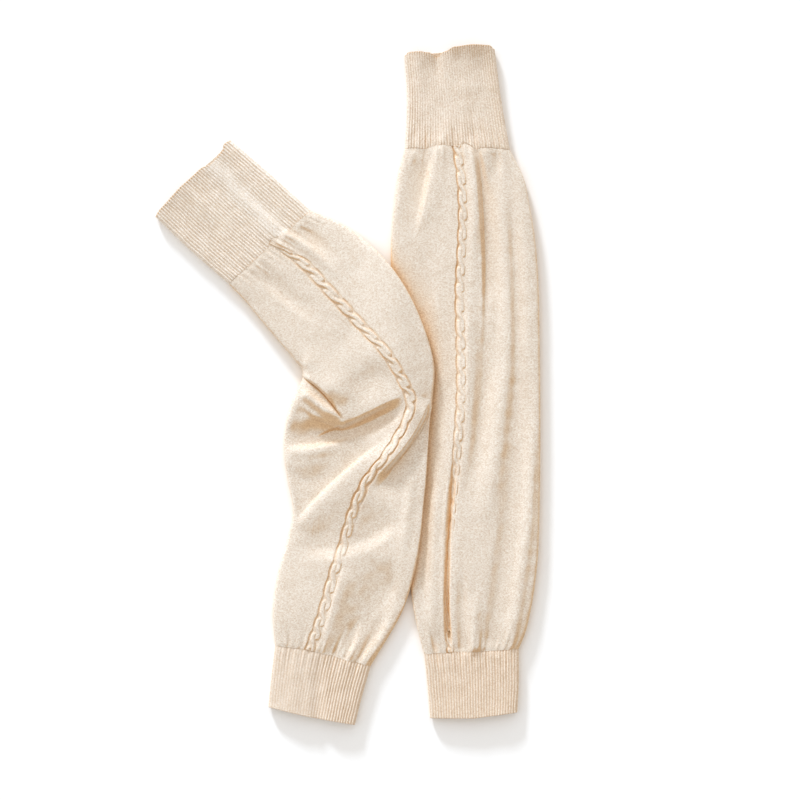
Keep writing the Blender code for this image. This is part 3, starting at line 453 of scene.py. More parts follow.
def look_up(rows, x, column=1):
    """A column of a table at each x. Its first column is the places, where the result levels."""
    places, values = (np.array([row[k] for row in rows], float) for k in (0, column))
    k = np.clip(np.searchsorted(places, x, side="right") - 1, 0, len(places) - 2)
    share = smoothstep((x - places[k]) / (places[k + 1] - places[k]))
    return values[k] + (values[k + 1] - values[k]) * share


def soft_floor(value, least, blend=1.2):
    """The larger of two heights, rounded where they meet."""
    apart = np.clip((blend - np.abs(value - least)) / blend, 0, 1)
    return np.maximum(value, least) + blend * apart**2 / 4


def noise(x, y, seed=0):
    """Smooth noise from -1 to 1 with about one wave for each two units."""
    column, row = np.floor(x), np.floor(y)
    u, v = smoothstep(x - column), smoothstep(y - row)

    def corner(i, j):
        value = np.sin((column + i) * 127.1 + (row + j) * 311.7 + seed * 74.7) * 43758.5453
        return 2 * (value - np.floor(value)) - 1

    low = corner(0, 0) * (1 - u) + corner(1, 0) * u
    high = corner(0, 1) * (1 - u) + corner(1, 1) * u
    return low * (1 - v) + high * v


def unevenness(waves, x, y, seed):
    """The sum of some waves of noise over the floor plan."""
    return sum(height * noise(x / half_x, y / half_y, seed + k)
               for k, (height, half_x, half_y) in enumerate(waves))


class Track:
    """A table of sections as smooth functions of s, from 0 at the top end to 1 at the bottom."""

    def __init__(self, sections):
        self.rows = np.array([[*row.left, *row.middle, *row.right, *row[3:]] for row in sections])
        steps = np.linalg.norm(np.diff(self.rows[:, :6], axis=0), axis=1) / np.sqrt(3.0)
        places = np.concatenate([[0.0], np.cumsum(steps)])
        self.length = places[-1]
        self.s = places / self.length
        self.slopes = np.gradient(self.rows, self.s, axis=0)

    def at(self, s):
        """Cubic interpolation of all nine columns at each s."""
        k = np.clip(np.searchsorted(self.s, s, side="right") - 1, 0, len(self.s) - 2)
        step = (self.s[k + 1] - self.s[k])[..., None]
        t = ((s - self.s[k]) / step[..., 0])[..., None]
        a, b = self.rows[k], self.rows[k + 1]
        da, db = self.slopes[k] * step, self.slopes[k + 1] * step
        return ((2 * t**3 - 3 * t**2 + 1) * a + (t**3 - 2 * t**2 + t) * da
                + (3 * t**2 - 2 * t**3) * b + (t**3 - t**2) * db)


# ---- curves of the floor plan
Near = namedtuple("Near", "distance along side x y")


def near_curve(curve, x, y):
    """Where points lie beside the quadratic curve through three points: their distance, how far
    along it they are, their side, above 0 on its left hand, and x and y from its nearest point."""
    start, middle, end = (np.array(p) for p in (curve.start, curve.middle, curve.end))
    control = 2 * middle - (start + end) / 2
    t = np.linspace(0, 1, CURVE_POINTS)[:, None]
    line = (1 - t)**2 * start + 2 * t * (1 - t) * control + t**2 * end
    near = Near(np.full(x.shape, np.inf), *(np.zeros(x.shape) for _ in range(4)))
    for k in range(len(line) - 1):
        ax, ay = line[k]
        dx, dy = line[k + 1] - line[k]
        t = np.clip(((x - ax) * dx + (y - ay) * dy) / (dx * dx + dy * dy), 0, 1)
        px, py = x - ax - t * dx, y - ay - t * dy
        here = Near(np.hypot(px, py), (k + t) / (len(line) - 1), dx * py - dy * px, px, py)
        nearer = here.distance < near.distance
        near = Near(*(np.where(nearer, new, old) for new, old in zip(here, near)))
    return near


def fold_height(fold, x, y):
    """Height that one fold adds at each point of the floor plan."""
    near = near_curve(fold, x, y)
    width = np.where(near.side > 0, fold.left_width, fold.right_width)
    bell = 0.5 + 0.5 * np.cos(np.pi * np.clip(near.distance / width, 0, 1))
    taper = np.ones(x.shape)
    if fold.fade_in:
        taper = taper * smoothstep(near.along / fold.fade_in)
    if fold.fade_out:
        taper = taper * smoothstep((1 - near.along) / fold.fade_out)
    return fold.height * bell * taper


def shoved(shove, x, y):
    """Points of the floor plan after a shove has moved those beside its curve."""
    near = near_curve(shove, x, y)
    reach = np.clip(near.distance / shove.width, 0, 1)
    ends = smoothstep(near.along / SHOVE_FADE) * smoothstep((1 - near.along) / SHOVE_FADE)
    amount = shove.shift * ends * (1 - reach)**2 * smoothstep(near.distance / SHOVE_START)
    amount = np.where(near.side * shove.side > 0, amount, 0) / np.maximum(near.distance, 1e-6)
    return x - near.x * amount, y - near.y * amount


# ---- tubes
STRAIGHT_TRACK = Track(STRAIGHT_BODY)


def lift(x, y):
    """How high the bent one's underside is carried where the straight one lies under it."""
    left_x, middle_y = STRAIGHT_TRACK.rows[::-1, 0], STRAIGHT_TRACK.rows[::-1, 3]
    left_edge = np.interp(y, middle_y, left_x)
    before = np.interp(y, *zip(*LIFT_BEFORE))
    return LIFT_HEIGHT * smoothstep((x - left_edge + before) / (before + LIFT_BEYOND))


def no_lift(x, y):
    """The straight one lies on the floor."""
    return np.zeros(np.shape(x))


def gather_bell(gather, q):
    """Share of a gather that there is at each q."""
    return np.exp(-((q - gather.across) / gather.width)**2)


@dataclass
class Tube:
    """One piece's surface: s runs along it and q across it, from -1 (left) to 1 (right)."""
    sections: tuple
    folds: tuple
    lips: tuple = PLAIN_LIP
    back_lips: tuple = PLAIN_LIP
    lifted: object = no_lift
    wall: float = CUFF_WALL
    top_gathers: tuple = ()
    bottom_gathers: tuple = ()
    flare: tuple = ()
    open_end: int = None  # 0 or 1 where the tube ends in an open mouth
    shoves: tuple = ()
    cable_half: float = 0.0
    squeeze: tuple = ()
    beside: tuple = ()
    seed: int = 0
    blend: float = STRAIGHT_BLEND

    def __post_init__(self):
        self.track = Track(self.sections)
        self.length = self.track.length

    def seam_distances(self, s):
        """Distances to the linked ends, with the gathers at each."""
        ends = (s * self.length, self.top_gathers), ((1 - s) * self.length, self.bottom_gathers)
        return [(distance, gathers) for distance, gathers in ends if gathers]

    def place(self, s, q, back=False):
        """Sections' values at s, after the mouth's wave and the gathers have moved s along."""
        s, q = np.broadcast_arrays(s, q)
        inset = look_up(self.back_lips if back else self.lips, q)
        moved = s + inset / self.length * np.clip(1 - s / LIP_REACH, 0, 1)**2
        if not back:
            for distance, gathers in self.seam_distances(s):
                for gather in gathers:
                    push = gather.push / self.length * gather_bell(gather, q)
                    moved = moved - push * np.exp(-distance / PUSH_REACH)
        return self.track.at(moved), q

    def plan(self, s, q, back=False):
        """Point of the floor plan, and the half width on that side."""
        values, q = self.place(s, q, back)
        middle = values[..., 2:4]
        edge = np.where((q < 0)[..., None], values[..., 0:2], values[..., 4:6])
        point = middle + np.abs(q)[..., None] * (edge - middle)
        return point[..., 0], point[..., 1], np.linalg.norm(edge - middle, axis=-1)

    def halves(self, s):
        """The left and the right half width at s."""
        return [self.plan(s, place, True)[2] for place in (-0.5, 0.5)]

    def even_share(self, s, q):
        """Place across as a share of the whole width, from -1 to 1."""
        left_half, right_half = self.halves(s)
        place = np.where(q < 0, q * left_half, q * right_half) + left_half
        return 2 * place / (left_half + right_half) - 1

    def underside(self, s, q):
        """Height of the back's outer face."""
        x, y, half = self.plan(s, q, True)
        inset = np.clip(1 - (1 - np.abs(q)) * half / UNDER_RADIUS, 0, 1)
        return self.lifted(x, y) + EDGE_LEVEL * (1 - np.sqrt(1 - inset**2))

    def front(self, s, q):
        """Height of the front's outer face, without stitches, ribs or cable."""
        values, q = self.place(s, q)
        x, y, half = self.plan(s, q)
        middle = values[..., 7]
        side = np.where(q < 0, values[..., 6], values[..., 8])
        crown = middle + (side - middle) * smoothstep(np.abs(q) / self.blend)
        dome = (1 - np.abs(q)**DOME_POWER)**(1 / DOME_POWER)
        near_edge = smoothstep((1 - np.abs(q)) * half / FOLD_EDGE)
        folded = sum(fold_height(fold, x, y) for fold in self.folds)
        plain = EDGE_LEVEL + (crown - EDGE_LEVEL) * dome
        least = EDGE_LEVEL + (LEAST_THICKNESS - EDGE_LEVEL) * dome
        height = soft_floor(plain + folded * near_edge, least)
        return self.lifted(x, y) + height + self.seams(s, q) * near_edge + self.mouth(s, q)

    def seams(self, s, q):
        """What gathers, ripples and the dip at each seam add."""
        added = np.zeros(np.shape(q))
        share = self.even_share(s, q)
        turns = SEAM_RIPPLES * share / 2 + RIPPLE_WANDER * noise(share * 9, 0, self.seed)
        ripple = SEAM_RIPPLE * np.cos(2 * np.pi * turns)
        is_cuff = self.wall == CUFF_WALL
        for distance, gathers in self.seam_distances(s):
            body_share = smoothstep(distance / GATHER_START)
            body_share = GATHER_AT_SEAM + (1 - GATHER_AT_SEAM) * body_share
            for gather in gathers:
                wave = np.exp(-np.maximum(distance - GATHER_START, 0) / gather.reach)
                swell = gather.rise * gather_bell(gather, q) * wave
                added = added + swell * (CUFF_GATHER if is_cuff else body_share)
            place = distance / RIPPLE_PLACE
            added = added + ripple * (place * np.exp(1 - place))
            if is_cuff:
                added = added - SEAM_DIP * np.exp(-(distance / SEAM_DIP_REACH)**2)
        return added

    def mouth(self, s, q):
        """How far the front is lifted near an open mouth, and rounded at its rim."""
        if self.open_end is None:
            return 0.0
        distance = np.abs(s - self.open_end) * self.length
        raised = look_up(self.flare, q) * np.clip(1 - distance / FLARE_REACH, 0, 1)**2
        short = np.clip(1 - distance / RIM_RADIUS, 0, 1)
        return raised - RIM_RADIUS * (1 - np.sqrt(1 - short**2))

    def cable_width(self, s):
        """Half width of the cable, which is narrower where its strands cross."""
        crossing = 0.5 + 0.5 * np.cos(2 * np.pi * (self.crossings(s) - CROSSING_SHARE / 2))
        return look_up(self.squeeze, s) * (1 - CABLE_NOTCH * crossing**2) * self.cable_half

    def crossings(self, s):
        """How many crossings of its strands the cable has made from its top to s."""
        return s * self.length / CABLE_PITCH + CROSSING_WANDER * noise(s * 60, 0, self.seed)

    def crease_beside(self, s, across):
        """How sharp the crease at the cable's left or right side is."""
        return np.where(across < 0, look_up(self.beside, s, 1), look_up(self.beside, s, 2))

    def hollow_top(self, s, q):
        """Height of the front's inner face: a wall below the outer one's lowest round about."""
        along = np.array(HOLLOW_ALONG)[:, None] / self.length
        across = np.array(HOLLOW_ACROSS) / USUAL_HALF
        near_s = np.clip(s[..., None, None] + along, 0, 1)
        near_q = np.clip(q[..., None, None] + across + 0 * along, -0.99, 0.99)
        return self.front(near_s, near_q).min(axis=(-2, -1)) - self.wall


# ---- meshes
# The crease field is each point's share of painted crease shade.
Grid = namedtuple("Grid", "x y z u v crease")


def add_object(name, data):
    """A new object in the scene."""
    added = bpy.data.objects.new(name, data)
    bpy.context.scene.collection.objects.link(added)
    return added


def ring_faces(first, rows, columns, flipped=False):
    """Quads of a closed grid whose points start at first, with their places in the grid."""
    i, j = np.meshgrid(np.arange(rows - 1), np.arange(columns), indexing="ij")
    beyond = (j + 1) % columns
    corners = [(i, j, j), (i + 1, j, j), (i + 1, beyond, j + 1), (i, beyond, j + 1)]
    if flipped:
        corners.reverse()
    points = np.stack([first + row * columns + column for row, column, _ in corners], -1)
    places = np.stack([np.stack([row, turn], -1) for row, _, turn in corners], -2)
    return points.reshape(-1, 4), places.reshape(-1, 4, 2)


def rim_faces(outer_first, inner_first, row, columns, flipped=False):
    """Quads between the end rows of two grids, with their places in the outer one."""
    j = np.arange(columns)
    beyond = (j + 1) % columns
    corners = [(outer_first + j, j), (outer_first + beyond, j + 1),
               (inner_first + beyond, j + 1), (inner_first + j, j)]
    if flipped:
        corners.reverse()
    faces, turns = (np.stack(parts, -1) for parts in zip(*corners))
    return faces, np.stack([np.full_like(turns, row), turns], -1)


def make_object(name, parts, grids, material):
    """An object of quads, each part with its places in one of the grids, and its stitch map; its
    points carry their painted crease shade.
    """
    faces = np.concatenate([faces for faces, _, _ in parts])
    uv = np.concatenate([np.stack([grid.u[places[..., 0], places[..., 1]],
                                   grid.v[places[..., 0], places[..., 1]]], -1)
                         for _, places, grid in parts])
    points = np.concatenate([np.stack([grid.x, grid.y, grid.z], -1).reshape(-1, 3)
                             for grid in grids]) + np.array([*ORIGIN_SHIFT, 0.0])
    crease = np.concatenate([grid.crease.ravel() for grid in grids])
    data = bpy.data.meshes.new(name)
    data.vertices.add(len(points))
    data.vertices.foreach_set("co", (points * METRES).astype(np.float32).ravel())
    data.loops.add(faces.size)
    data.loops.foreach_set("vertex_index", faces.astype(np.int32).ravel())
    data.polygons.add(len(faces))
    data.polygons.foreach_set("loop_start", np.arange(0, faces.size, 4, dtype=np.int32))
    data.polygons.foreach_set("loop_total", np.full(len(faces), 4, dtype=np.int32))
    layer = data.uv_layers.new(name="Knit")
    layer.data.foreach_set("uv", uv.astype(np.float32).ravel())
    attribute = data.attributes.new("crease", "FLOAT", "POINT")
    attribute.data.foreach_set("value", np.clip(crease, 0, 1).astype(np.float32))
    data.update(calc_edges=True)
    data.validate()
    data.shade_smooth()
    data.materials.append(material)
    return add_object(name, data)


def tube_mesh(name, outer, inner, material):
    """A closed wall between an outer and an inner grid, each closed round the tube."""
    rows, columns = outer.x.shape
    inner_rows = len(inner.x)
    inner_first = rows * columns
    last_outer, last_inner = (rows - 1) * columns, inner_first + (inner_rows - 1) * columns
    parts = ((*ring_faces(0, rows, columns), outer),
             (*ring_faces(inner_first, inner_rows, columns, True), inner),
             (*rim_faces(0, inner_first, 0, columns), outer),
             (*rim_faces(last_outer, last_inner, rows - 1, columns, True), outer))
    return make_object(name, parts, (outer, inner), material)


def end_rows(length, count):
    """Rows along a tube, even but for some closer ones round both ends."""
    near = np.array(END_ROWS) * RIM_RADIUS / length
    gap = SEAM_GAP / length
    first = near[-1] + END_STEP / length
    return np.concatenate([near + gap, np.linspace(first, 1 - first, count), 1 - gap - near[::-1]])


def back_columns():
    """Places across of the back's columns, from the right edge to the left, closer at both."""
    flat = np.linspace(BACK_EVEN, -BACK_EVEN, BACK_COLUMNS - 2 * len(BACK_EDGE))
    return np.array([*BACK_EDGE, *flat, *[-q for q in reversed(BACK_EDGE)]])


def whole_grid(tube, rows, front, back, crease, stitches):
    """A grid round a tube from the q, x, y and z of its front and back, mapped in stitches."""
    s = rows[:, None]
    front_turn, back_turn = ((tube.even_share(s, part[0]) + 1) / 4 for part in (front, back))
    turn = np.hstack([front_turn, 1 - back_turn, np.ones((len(rows), 1))])
    v = np.broadcast_to(s * tube.length / ROW_PITCH, turn.shape)
    x, y, z = (np.hstack(pair) for pair in zip(front[1:], back[1:]))
    return Grid(x, y, z, turn * stitches, v, crease)


def outer_grid(tube, rows, q, relief, stitches):
    """The outer face: front columns for each row, then the back's."""
    s = rows[:, None]
    x, y, _ = tube.plan(s, q)
    z = tube.front(s, q)
    for edge in (0, -1):
        z[:, edge] = tube.underside(rows, q[:, edge])
    added, crease = relief(tube, s, q, x, y)
    z[:, 1:-1] += added[:, 1:-1]
    for shove in tube.shoves:
        x, y = shoved(shove, x, y)
    back_q = back_columns()
    back_x, back_y, _ = tube.plan(s, back_q, True)
    back = (back_q, back_x, back_y, tube.underside(s, back_q))
    crease = np.hstack([crease, np.zeros(back_x.shape)])
    return whole_grid(tube, rows, (q, x, y, z), back, crease, stitches)


def inner_grid(tube, rows, front_q, stitches):
    """The hollow's face, with as many columns as the outer one."""
    s = rows[:, None]
    left_half, right_half = tube.halves(s)
    inside = 1 - INNER_MARGIN / np.where(front_q < 0, left_half, right_half)
    q = front_q * inside
    x, y, _ = tube.plan(s, q)
    floor = tube.lifted(x, y) + tube.wall
    z = np.maximum(tube.hollow_top(s, q), floor + HOLLOW_LEAST_HEIGHT)
    for edge in (0, -1):
        z[:, edge] = floor[:, edge] + HOLLOW_SIDE_HEIGHT
    back_q = back_columns() * inside[:, :1]
    back_x, back_y, _ = tube.plan(s, back_q, True)
    back = (back_q, back_x, back_y, tube.lifted(back_x, back_y) + tube.wall)
    # painted crease shade all over the hollow's face
    crease = np.full((len(rows), q.shape[1] + BACK_COLUMNS), INSIDE_CREASE_SHADE)
    return whole_grid(tube, rows, (q, x, y, z), back, crease, stitches)


# ---- front columns
def across_at(distance, left_half, right_half):
    """Places from -1 to 1 of distances from the middle line."""
    return np.clip(np.where(distance < 0, distance / left_half, distance / right_half), -1, 1)


def arc_shares(count):
    """Shares from 0 to 1 of a half width, evenly spaced along the dome over it."""
    q = np.concatenate([np.linspace(0, 0.9, 400), 1 - np.geomspace(0.1, 1e-5, 600)[1:], [1.0]])
    z = USUAL_HEIGHT * (1 - q**DOME_POWER)**(1 / DOME_POWER)
    steps = np.hypot(np.diff(q) * USUAL_REACH, np.diff(z))
    walked = np.concatenate([[0], np.cumsum(steps)])
    return np.interp(np.linspace(0, walked[-1], count), walked, q)


def body_columns(tube, rows, counts):
    """Places across of a body's front columns at each row: fixed distances near the cable, and
    shares of the way from there to the edge beyond it."""
    band = NEAR_CABLE[-1]
    left_half, right_half = tube.halves(rows[:, None])
    left = -band - (left_half - band) * arc_shares(counts[0])[::-1]
    right = band + (right_half - band) * arc_shares(counts[1])
    near = np.array([*[-d for d in reversed(NEAR_CABLE)], *NEAR_CABLE])
    near = np.repeat(near[None, :], len(rows), 0)
    return across_at(np.hstack([left[:, :-1], near, right[:, 1:]]), left_half, right_half)


def cuff_columns(tube, rows, ribs):
    """Places across of a cuff's front columns: COLUMNS_A_RIB to each rib, closer at both edges."""
    edge = 1 - 1 / ribs
    rounding = edge + (1 - edge) * np.array(EDGE_COLUMNS)
    even = np.linspace(-edge, edge, (ribs - 1) * COLUMNS_A_RIB + 1)
    shares = np.concatenate([-rounding[::-1], even, rounding])
    left_half, right_half = tube.halves(rows[:, None])
    distance = (shares + 1) / 2 * (left_half + right_half) - left_half
    return across_at(distance, left_half, right_half)


# ---- relief
def cloth_relief(tube, s, q, x, y):
    """Small unevenness of the plain knit, and the bed and gutters of the cable, with painted crease
    shade in the gutters.
    """
    _, _, half = tube.plan(s, q)
    across = q * half / tube.cable_width(s)
    sharp = tube.crease_beside(s, across)
    rim = BED_WIDE + (BED_NARROW - BED_WIDE) * sharp
    depth = CABLE_BED * (BED_LEAST + (1 - BED_LEAST) * sharp)
    bed = depth * smoothstep((rim - np.abs(across)) / (rim - BED_FLAT))
    gutter = np.clip(1 - np.abs(np.abs(across) - GUTTER_PLACE) / GUTTER_HALF_WIDTH, 0, 1)
    added = unevenness(CLOTH_UNEVEN, x, y, tube.seed) - bed - GUTTER_DEPTH * sharp * gutter**1.5
    return added, GUTTER_CREASE_SHADE * sharp * gutter**2


def rib_relief(ribs, strength, shade_all_over):
    """Relief of a cuff's ribs, as strong at each place as the given function says, with painted
    crease shade in the grooves, at a wide cuff's rim and, to the given share, all over.
    """
    def relief(tube, s, q, x, y):
        share = tube.even_share(s, q)
        place = ribs * (share + 1) / 2 + unevenness(RIB_WANDER, x, y, tube.seed)
        wave = 0.5 + 0.5 * np.cos(2 * np.pi * place)
        strong = strength(s, q)
        beads = 1 - BEAD_SHARE * (0.5 + 0.5 * noise(x / BEAD_SIZE, y / BEAD_SIZE, tube.seed + 2))
        rise = RIB_RISE * strong * beads * (wave**RIB_CREST - 0.5)
        rise = rise * smoothstep((1 - np.abs(share)) * ribs * 0.6)
        # painted crease shade in the rib grooves, and over the whole cuff to the given share
        crease = shade_all_over + (1 - shade_all_over) * 0.5 * strong * (1 - wave)**3
        if tube.open_end == 0:
            crease = crease + RIM_CREASE_SHADE * np.clip(1 - s * tube.length / RIM_CREASE_SHADE_REACH, 0, 1)
        return rise + unevenness(RIB_UNEVEN, x, y, tube.seed + 1), crease
    return relief


def straight_rib_strength(s, q):
    """The straight wide cuff's ribs are stretched flat over its middle."""
    stretched = smoothstep((0.95 - np.abs(q)) / 0.35) * smoothstep(s / 0.1)
    return 1 - 0.55 * stretched * smoothstep((0.93 - s) / 0.3)


def bent_rib_strength(s, q):
    """The bent wide cuff's ribs stand out most, but for a stretched band along it."""
    return 1.5 - 1.0 * np.exp(-((q - 0.46 + 0.2 * s) / 0.17)**2)


def straight_hem_strength(s, q):
    """The straight narrow cuff's ribs stand out less."""
    return 0.85


def bent_hem_strength(s, q):
    """The bent narrow cuff's ribs are stretched flat on its left."""
    return 0.35 + 0.55 * smoothstep((q + 0.1) / 0.5)


# ---- cable
def strand(crossings, which, across):
    """How far places across the cable are from a strand's middle, and its height there. Each
    crosses over from left to right in one crossing and under from right to left in the next."""
    turn = np.mod(crossings - which, 2.0)
    over = turn < 1
    share = np.clip(np.where(over, turn, turn - 1) / CROSSING_SHARE, 0, 1)
    place = 2 * smoothstep(share) - 1
    away = across - np.where(over, place, -place) * STRAND_LANE
    arch = np.where(over, STRAND_OVER, -STRAND_UNDER) * np.sin(np.pi * share)
    return away, STRAND_RISE * (1 - np.abs(away / STRAND_HALF_WIDTH)**STRAND_POWER) + arch


def strip_ends(rows, columns):
    """Ladders of quads that close a strip's first and last ring, with their places."""
    k = np.arange(columns // 2 - 1)
    ladder = np.stack([k, k + 1, columns - 2 - k, columns - 1 - k], -1)
    turns = np.concatenate([ladder, ladder[:, ::-1]])
    row = np.concatenate([np.zeros_like(ladder), np.full_like(ladder, rows - 1)])
    return row * columns + turns, np.stack([row, turns], -1)


def cable_mesh(name, tube, material):
    """The rope cable along the front of a body, as a closed strip of its own."""
    count = int(tube.length / CABLE_ROW)
    rows = np.linspace(CABLE_ENDS, tube.length - CABLE_ENDS, count) / tube.length
    columns = np.linspace(-CABLE_TUCK, CABLE_TUCK, CABLE_COLUMNS)
    s, across = np.meshgrid(rows, columns, indexing="ij")
    q = across * tube.cable_width(s) / np.where(across < 0, *tube.halves(s))
    x, y, _ = tube.plan(s, q)
    sink = look_up(tube.squeeze, s, 2)
    (from_first, first), (from_second, second) = (
        strand(tube.crossings(s), which, across) for which in (0, 1))
    side = smoothstep((CABLE_TUCK - np.abs(across)) / CABLE_EDGE)
    z = (tube.front(s, q) - sink - CABLE_BED * CABLE_SUNK - CABLE_EDGE_DROP * (1 - side)
         + np.maximum(np.maximum(first, second), STRAND_LOWEST) * side)
    # painted shade line where the two strands touch, and painted crease shade beside the cable
    parting_shade = np.exp(-np.abs(first - second) / PARTING_WIDTH) * side * (0.9 - 0.5 * across)
    crease = np.maximum(parting_shade, tube.crease_beside(s, across) * (1 - side)**2) * (1 - sink)
    nearest = np.where(first > second, from_first, from_second) * tube.cable_half
    u = nearest / WALE_PITCH + 0.5
    u = np.hstack([u, u[:, :1]])
    v = np.broadcast_to(rows[:, None] * tube.length / ROW_PITCH, u.shape)
    grid = Grid(x, y, z, u, v, crease)
    parts = [(*ring_faces(0, count, CABLE_COLUMNS), grid),
             (*strip_ends(count, CABLE_COLUMNS), grid)]
    return make_object(name, parts, [grid], material)


# ---- materials
class Nodes:
    """Short hand for building a material's node tree."""

    def __init__(self, name):
        self.material = bpy.data.materials.new(name)
        self.material.use_nodes = True
        self.tree = self.material.node_tree
        self.shader = self.tree.nodes["Principled BSDF"]

    def feed(self, socket, value):
        """Link a socket, or set it to a value."""
        if isinstance(value, bpy.types.NodeSocket):
            self.tree.links.new(value, socket)
        else:
            socket.default_value = value

    def node(self, kind, inputs, output=0, **settings):
        """One output of a new node, after its settings and inputs are given."""
        node = self.tree.nodes.new("ShaderNode" + kind)
        for name, value in settings.items():
            setattr(node, name, value)
        for name, value in inputs.items():
            self.feed(node.inputs[name], value)
        return node.outputs[output]

    def math(self, operation, first, second=0.0):
        """One sum of two numbers."""
        return self.node("Math", {0: first, 1: second}, operation=operation)

    def ranged(self, value, low, high, to_low=0.0, to_high=1.0):
        """Map a range onto another one, smoothly and clamped."""
        inputs = dict(enumerate((value, low, high, to_low, to_high)))
        return self.node("MapRange", inputs, interpolation_type="SMOOTHSTEP")

    def mix(self, share, first, second, blend="MIX"):
        """Mix two colours."""
        inputs = {0: share, 6: first, 7: second}
        return self.node("Mix", inputs, 2, data_type="RGBA", blend_type=blend)

    def tinted(self, share, colour, tint):
        """A colour, multiplied by a tint to the given share."""
        return self.mix(share, colour, self.mix(1.0, colour, (*tint, 1.0), "MULTIPLY"))

    def noise(self, scale, detail=2.0, stretch=None):
        """Noise in the object's own space; scale counts waves a metre."""
        place = self.node("TexCoord", {}, "Object")
        if stretch:
            turn, length = stretch
            place = self.node("Mapping", {"Vector": place, "Rotation": (0, 0, turn),
                                          "Scale": (length, 1, 1)})
        return self.node("TexNoise", {"Scale": scale, "Detail": detail, "Vector": place}, "Fac")

    def swayed(self, value, waves, sway):
        """A coordinate that noise moves to and fro."""
        centred = self.math("SUBTRACT", self.noise(waves), 0.5)
        return self.math("ADD", value, self.math("MULTIPLY", centred, sway))

    def random_cell(self, first, second):
        """An even random number for each whole cell of two coordinates."""
        corner = {0: self.math("FLOOR", first), 1: self.math("FLOOR", second)}
        return self.node("TexWhiteNoise", {"Vector": self.node("CombineXYZ", corner)}, "Value",
                         noise_dimensions="2D")

    def shut_sky(self):
        """How much of the sky over a point is shut off, from 0 to 1, which sets the painted hollow
        shade.
        """
        reach = {"Distance": HOLLOW_SHADE_REACH * METRES}
        return self.math("SUBTRACT", 1.0, self.node("AmbientOcclusion", reach, "AO",
                                                    samples=HOLLOW_SHADE_RAYS))

    def turned_away(self, most):
        """Share of the painted shade where an upper face gets less of the key light than the floor
        does.
        """
        tilt, turn = np.radians(LAMPS[0].tilt), np.radians(LAMPS[0].turn)
        key = (np.sin(tilt) * np.cos(turn), np.sin(tilt) * np.sin(turn), np.cos(tilt))
        normal = self.node("NewGeometry", {}, "Normal")
        light = self.node("VectorMath", {0: normal, 1: key}, "Value", operation="DOT_PRODUCT")
        less = self.math("SUBTRACT", float(key[2]), light)
        upward = self.ranged(self.node("SeparateXYZ", {0: normal}, 2), *UPWARD_SHADE_RANGE, 0.0, most)
        return self.math("MULTIPLY", self.ranged(less, *AWAY_SHADE_RANGE), upward)

    def bump(self, height, depth, strength, normal):
        """Bump of a height, as deep as given in millimetres, on top of another bump's normal."""
        inputs = {"Distance": depth * METRES, "Strength": strength, "Height": height}
        if normal:
            inputs["Normal"] = normal
        return self.node("Bump", inputs)


def stitch_height(nodes, wale, row):
    """Height of a plain stitch: two slanting legs in each wale, that make a V."""
    middle = nodes.math("ABSOLUTE", nodes.math("SUBTRACT", nodes.math("FRACT", wale), 0.5))
    middle = nodes.math("MULTIPLY", middle, 2.0)
    leg = nodes.math("FRACT", nodes.math("ADD", row, nodes.math("MULTIPLY", middle, LEG_SLANT)))
    legs = nodes.math("SINE", nodes.math("MULTIPLY", leg, np.pi))
    between_wales = nodes.math("POWER", middle, 5.0)
    between_legs = nodes.math("POWER", nodes.math("SUBTRACT", 1.0, middle), 4.0)
    grooves = nodes.math("ADD", between_wales, nodes.math("MULTIPLY", between_legs, 0.6))
    rounded = nodes.math("ADD", 0.35, nodes.math("MULTIPLY", legs, 0.65))
    return nodes.math("MULTIPLY", rounded, nodes.math("SUBTRACT", 1.0, grooves))


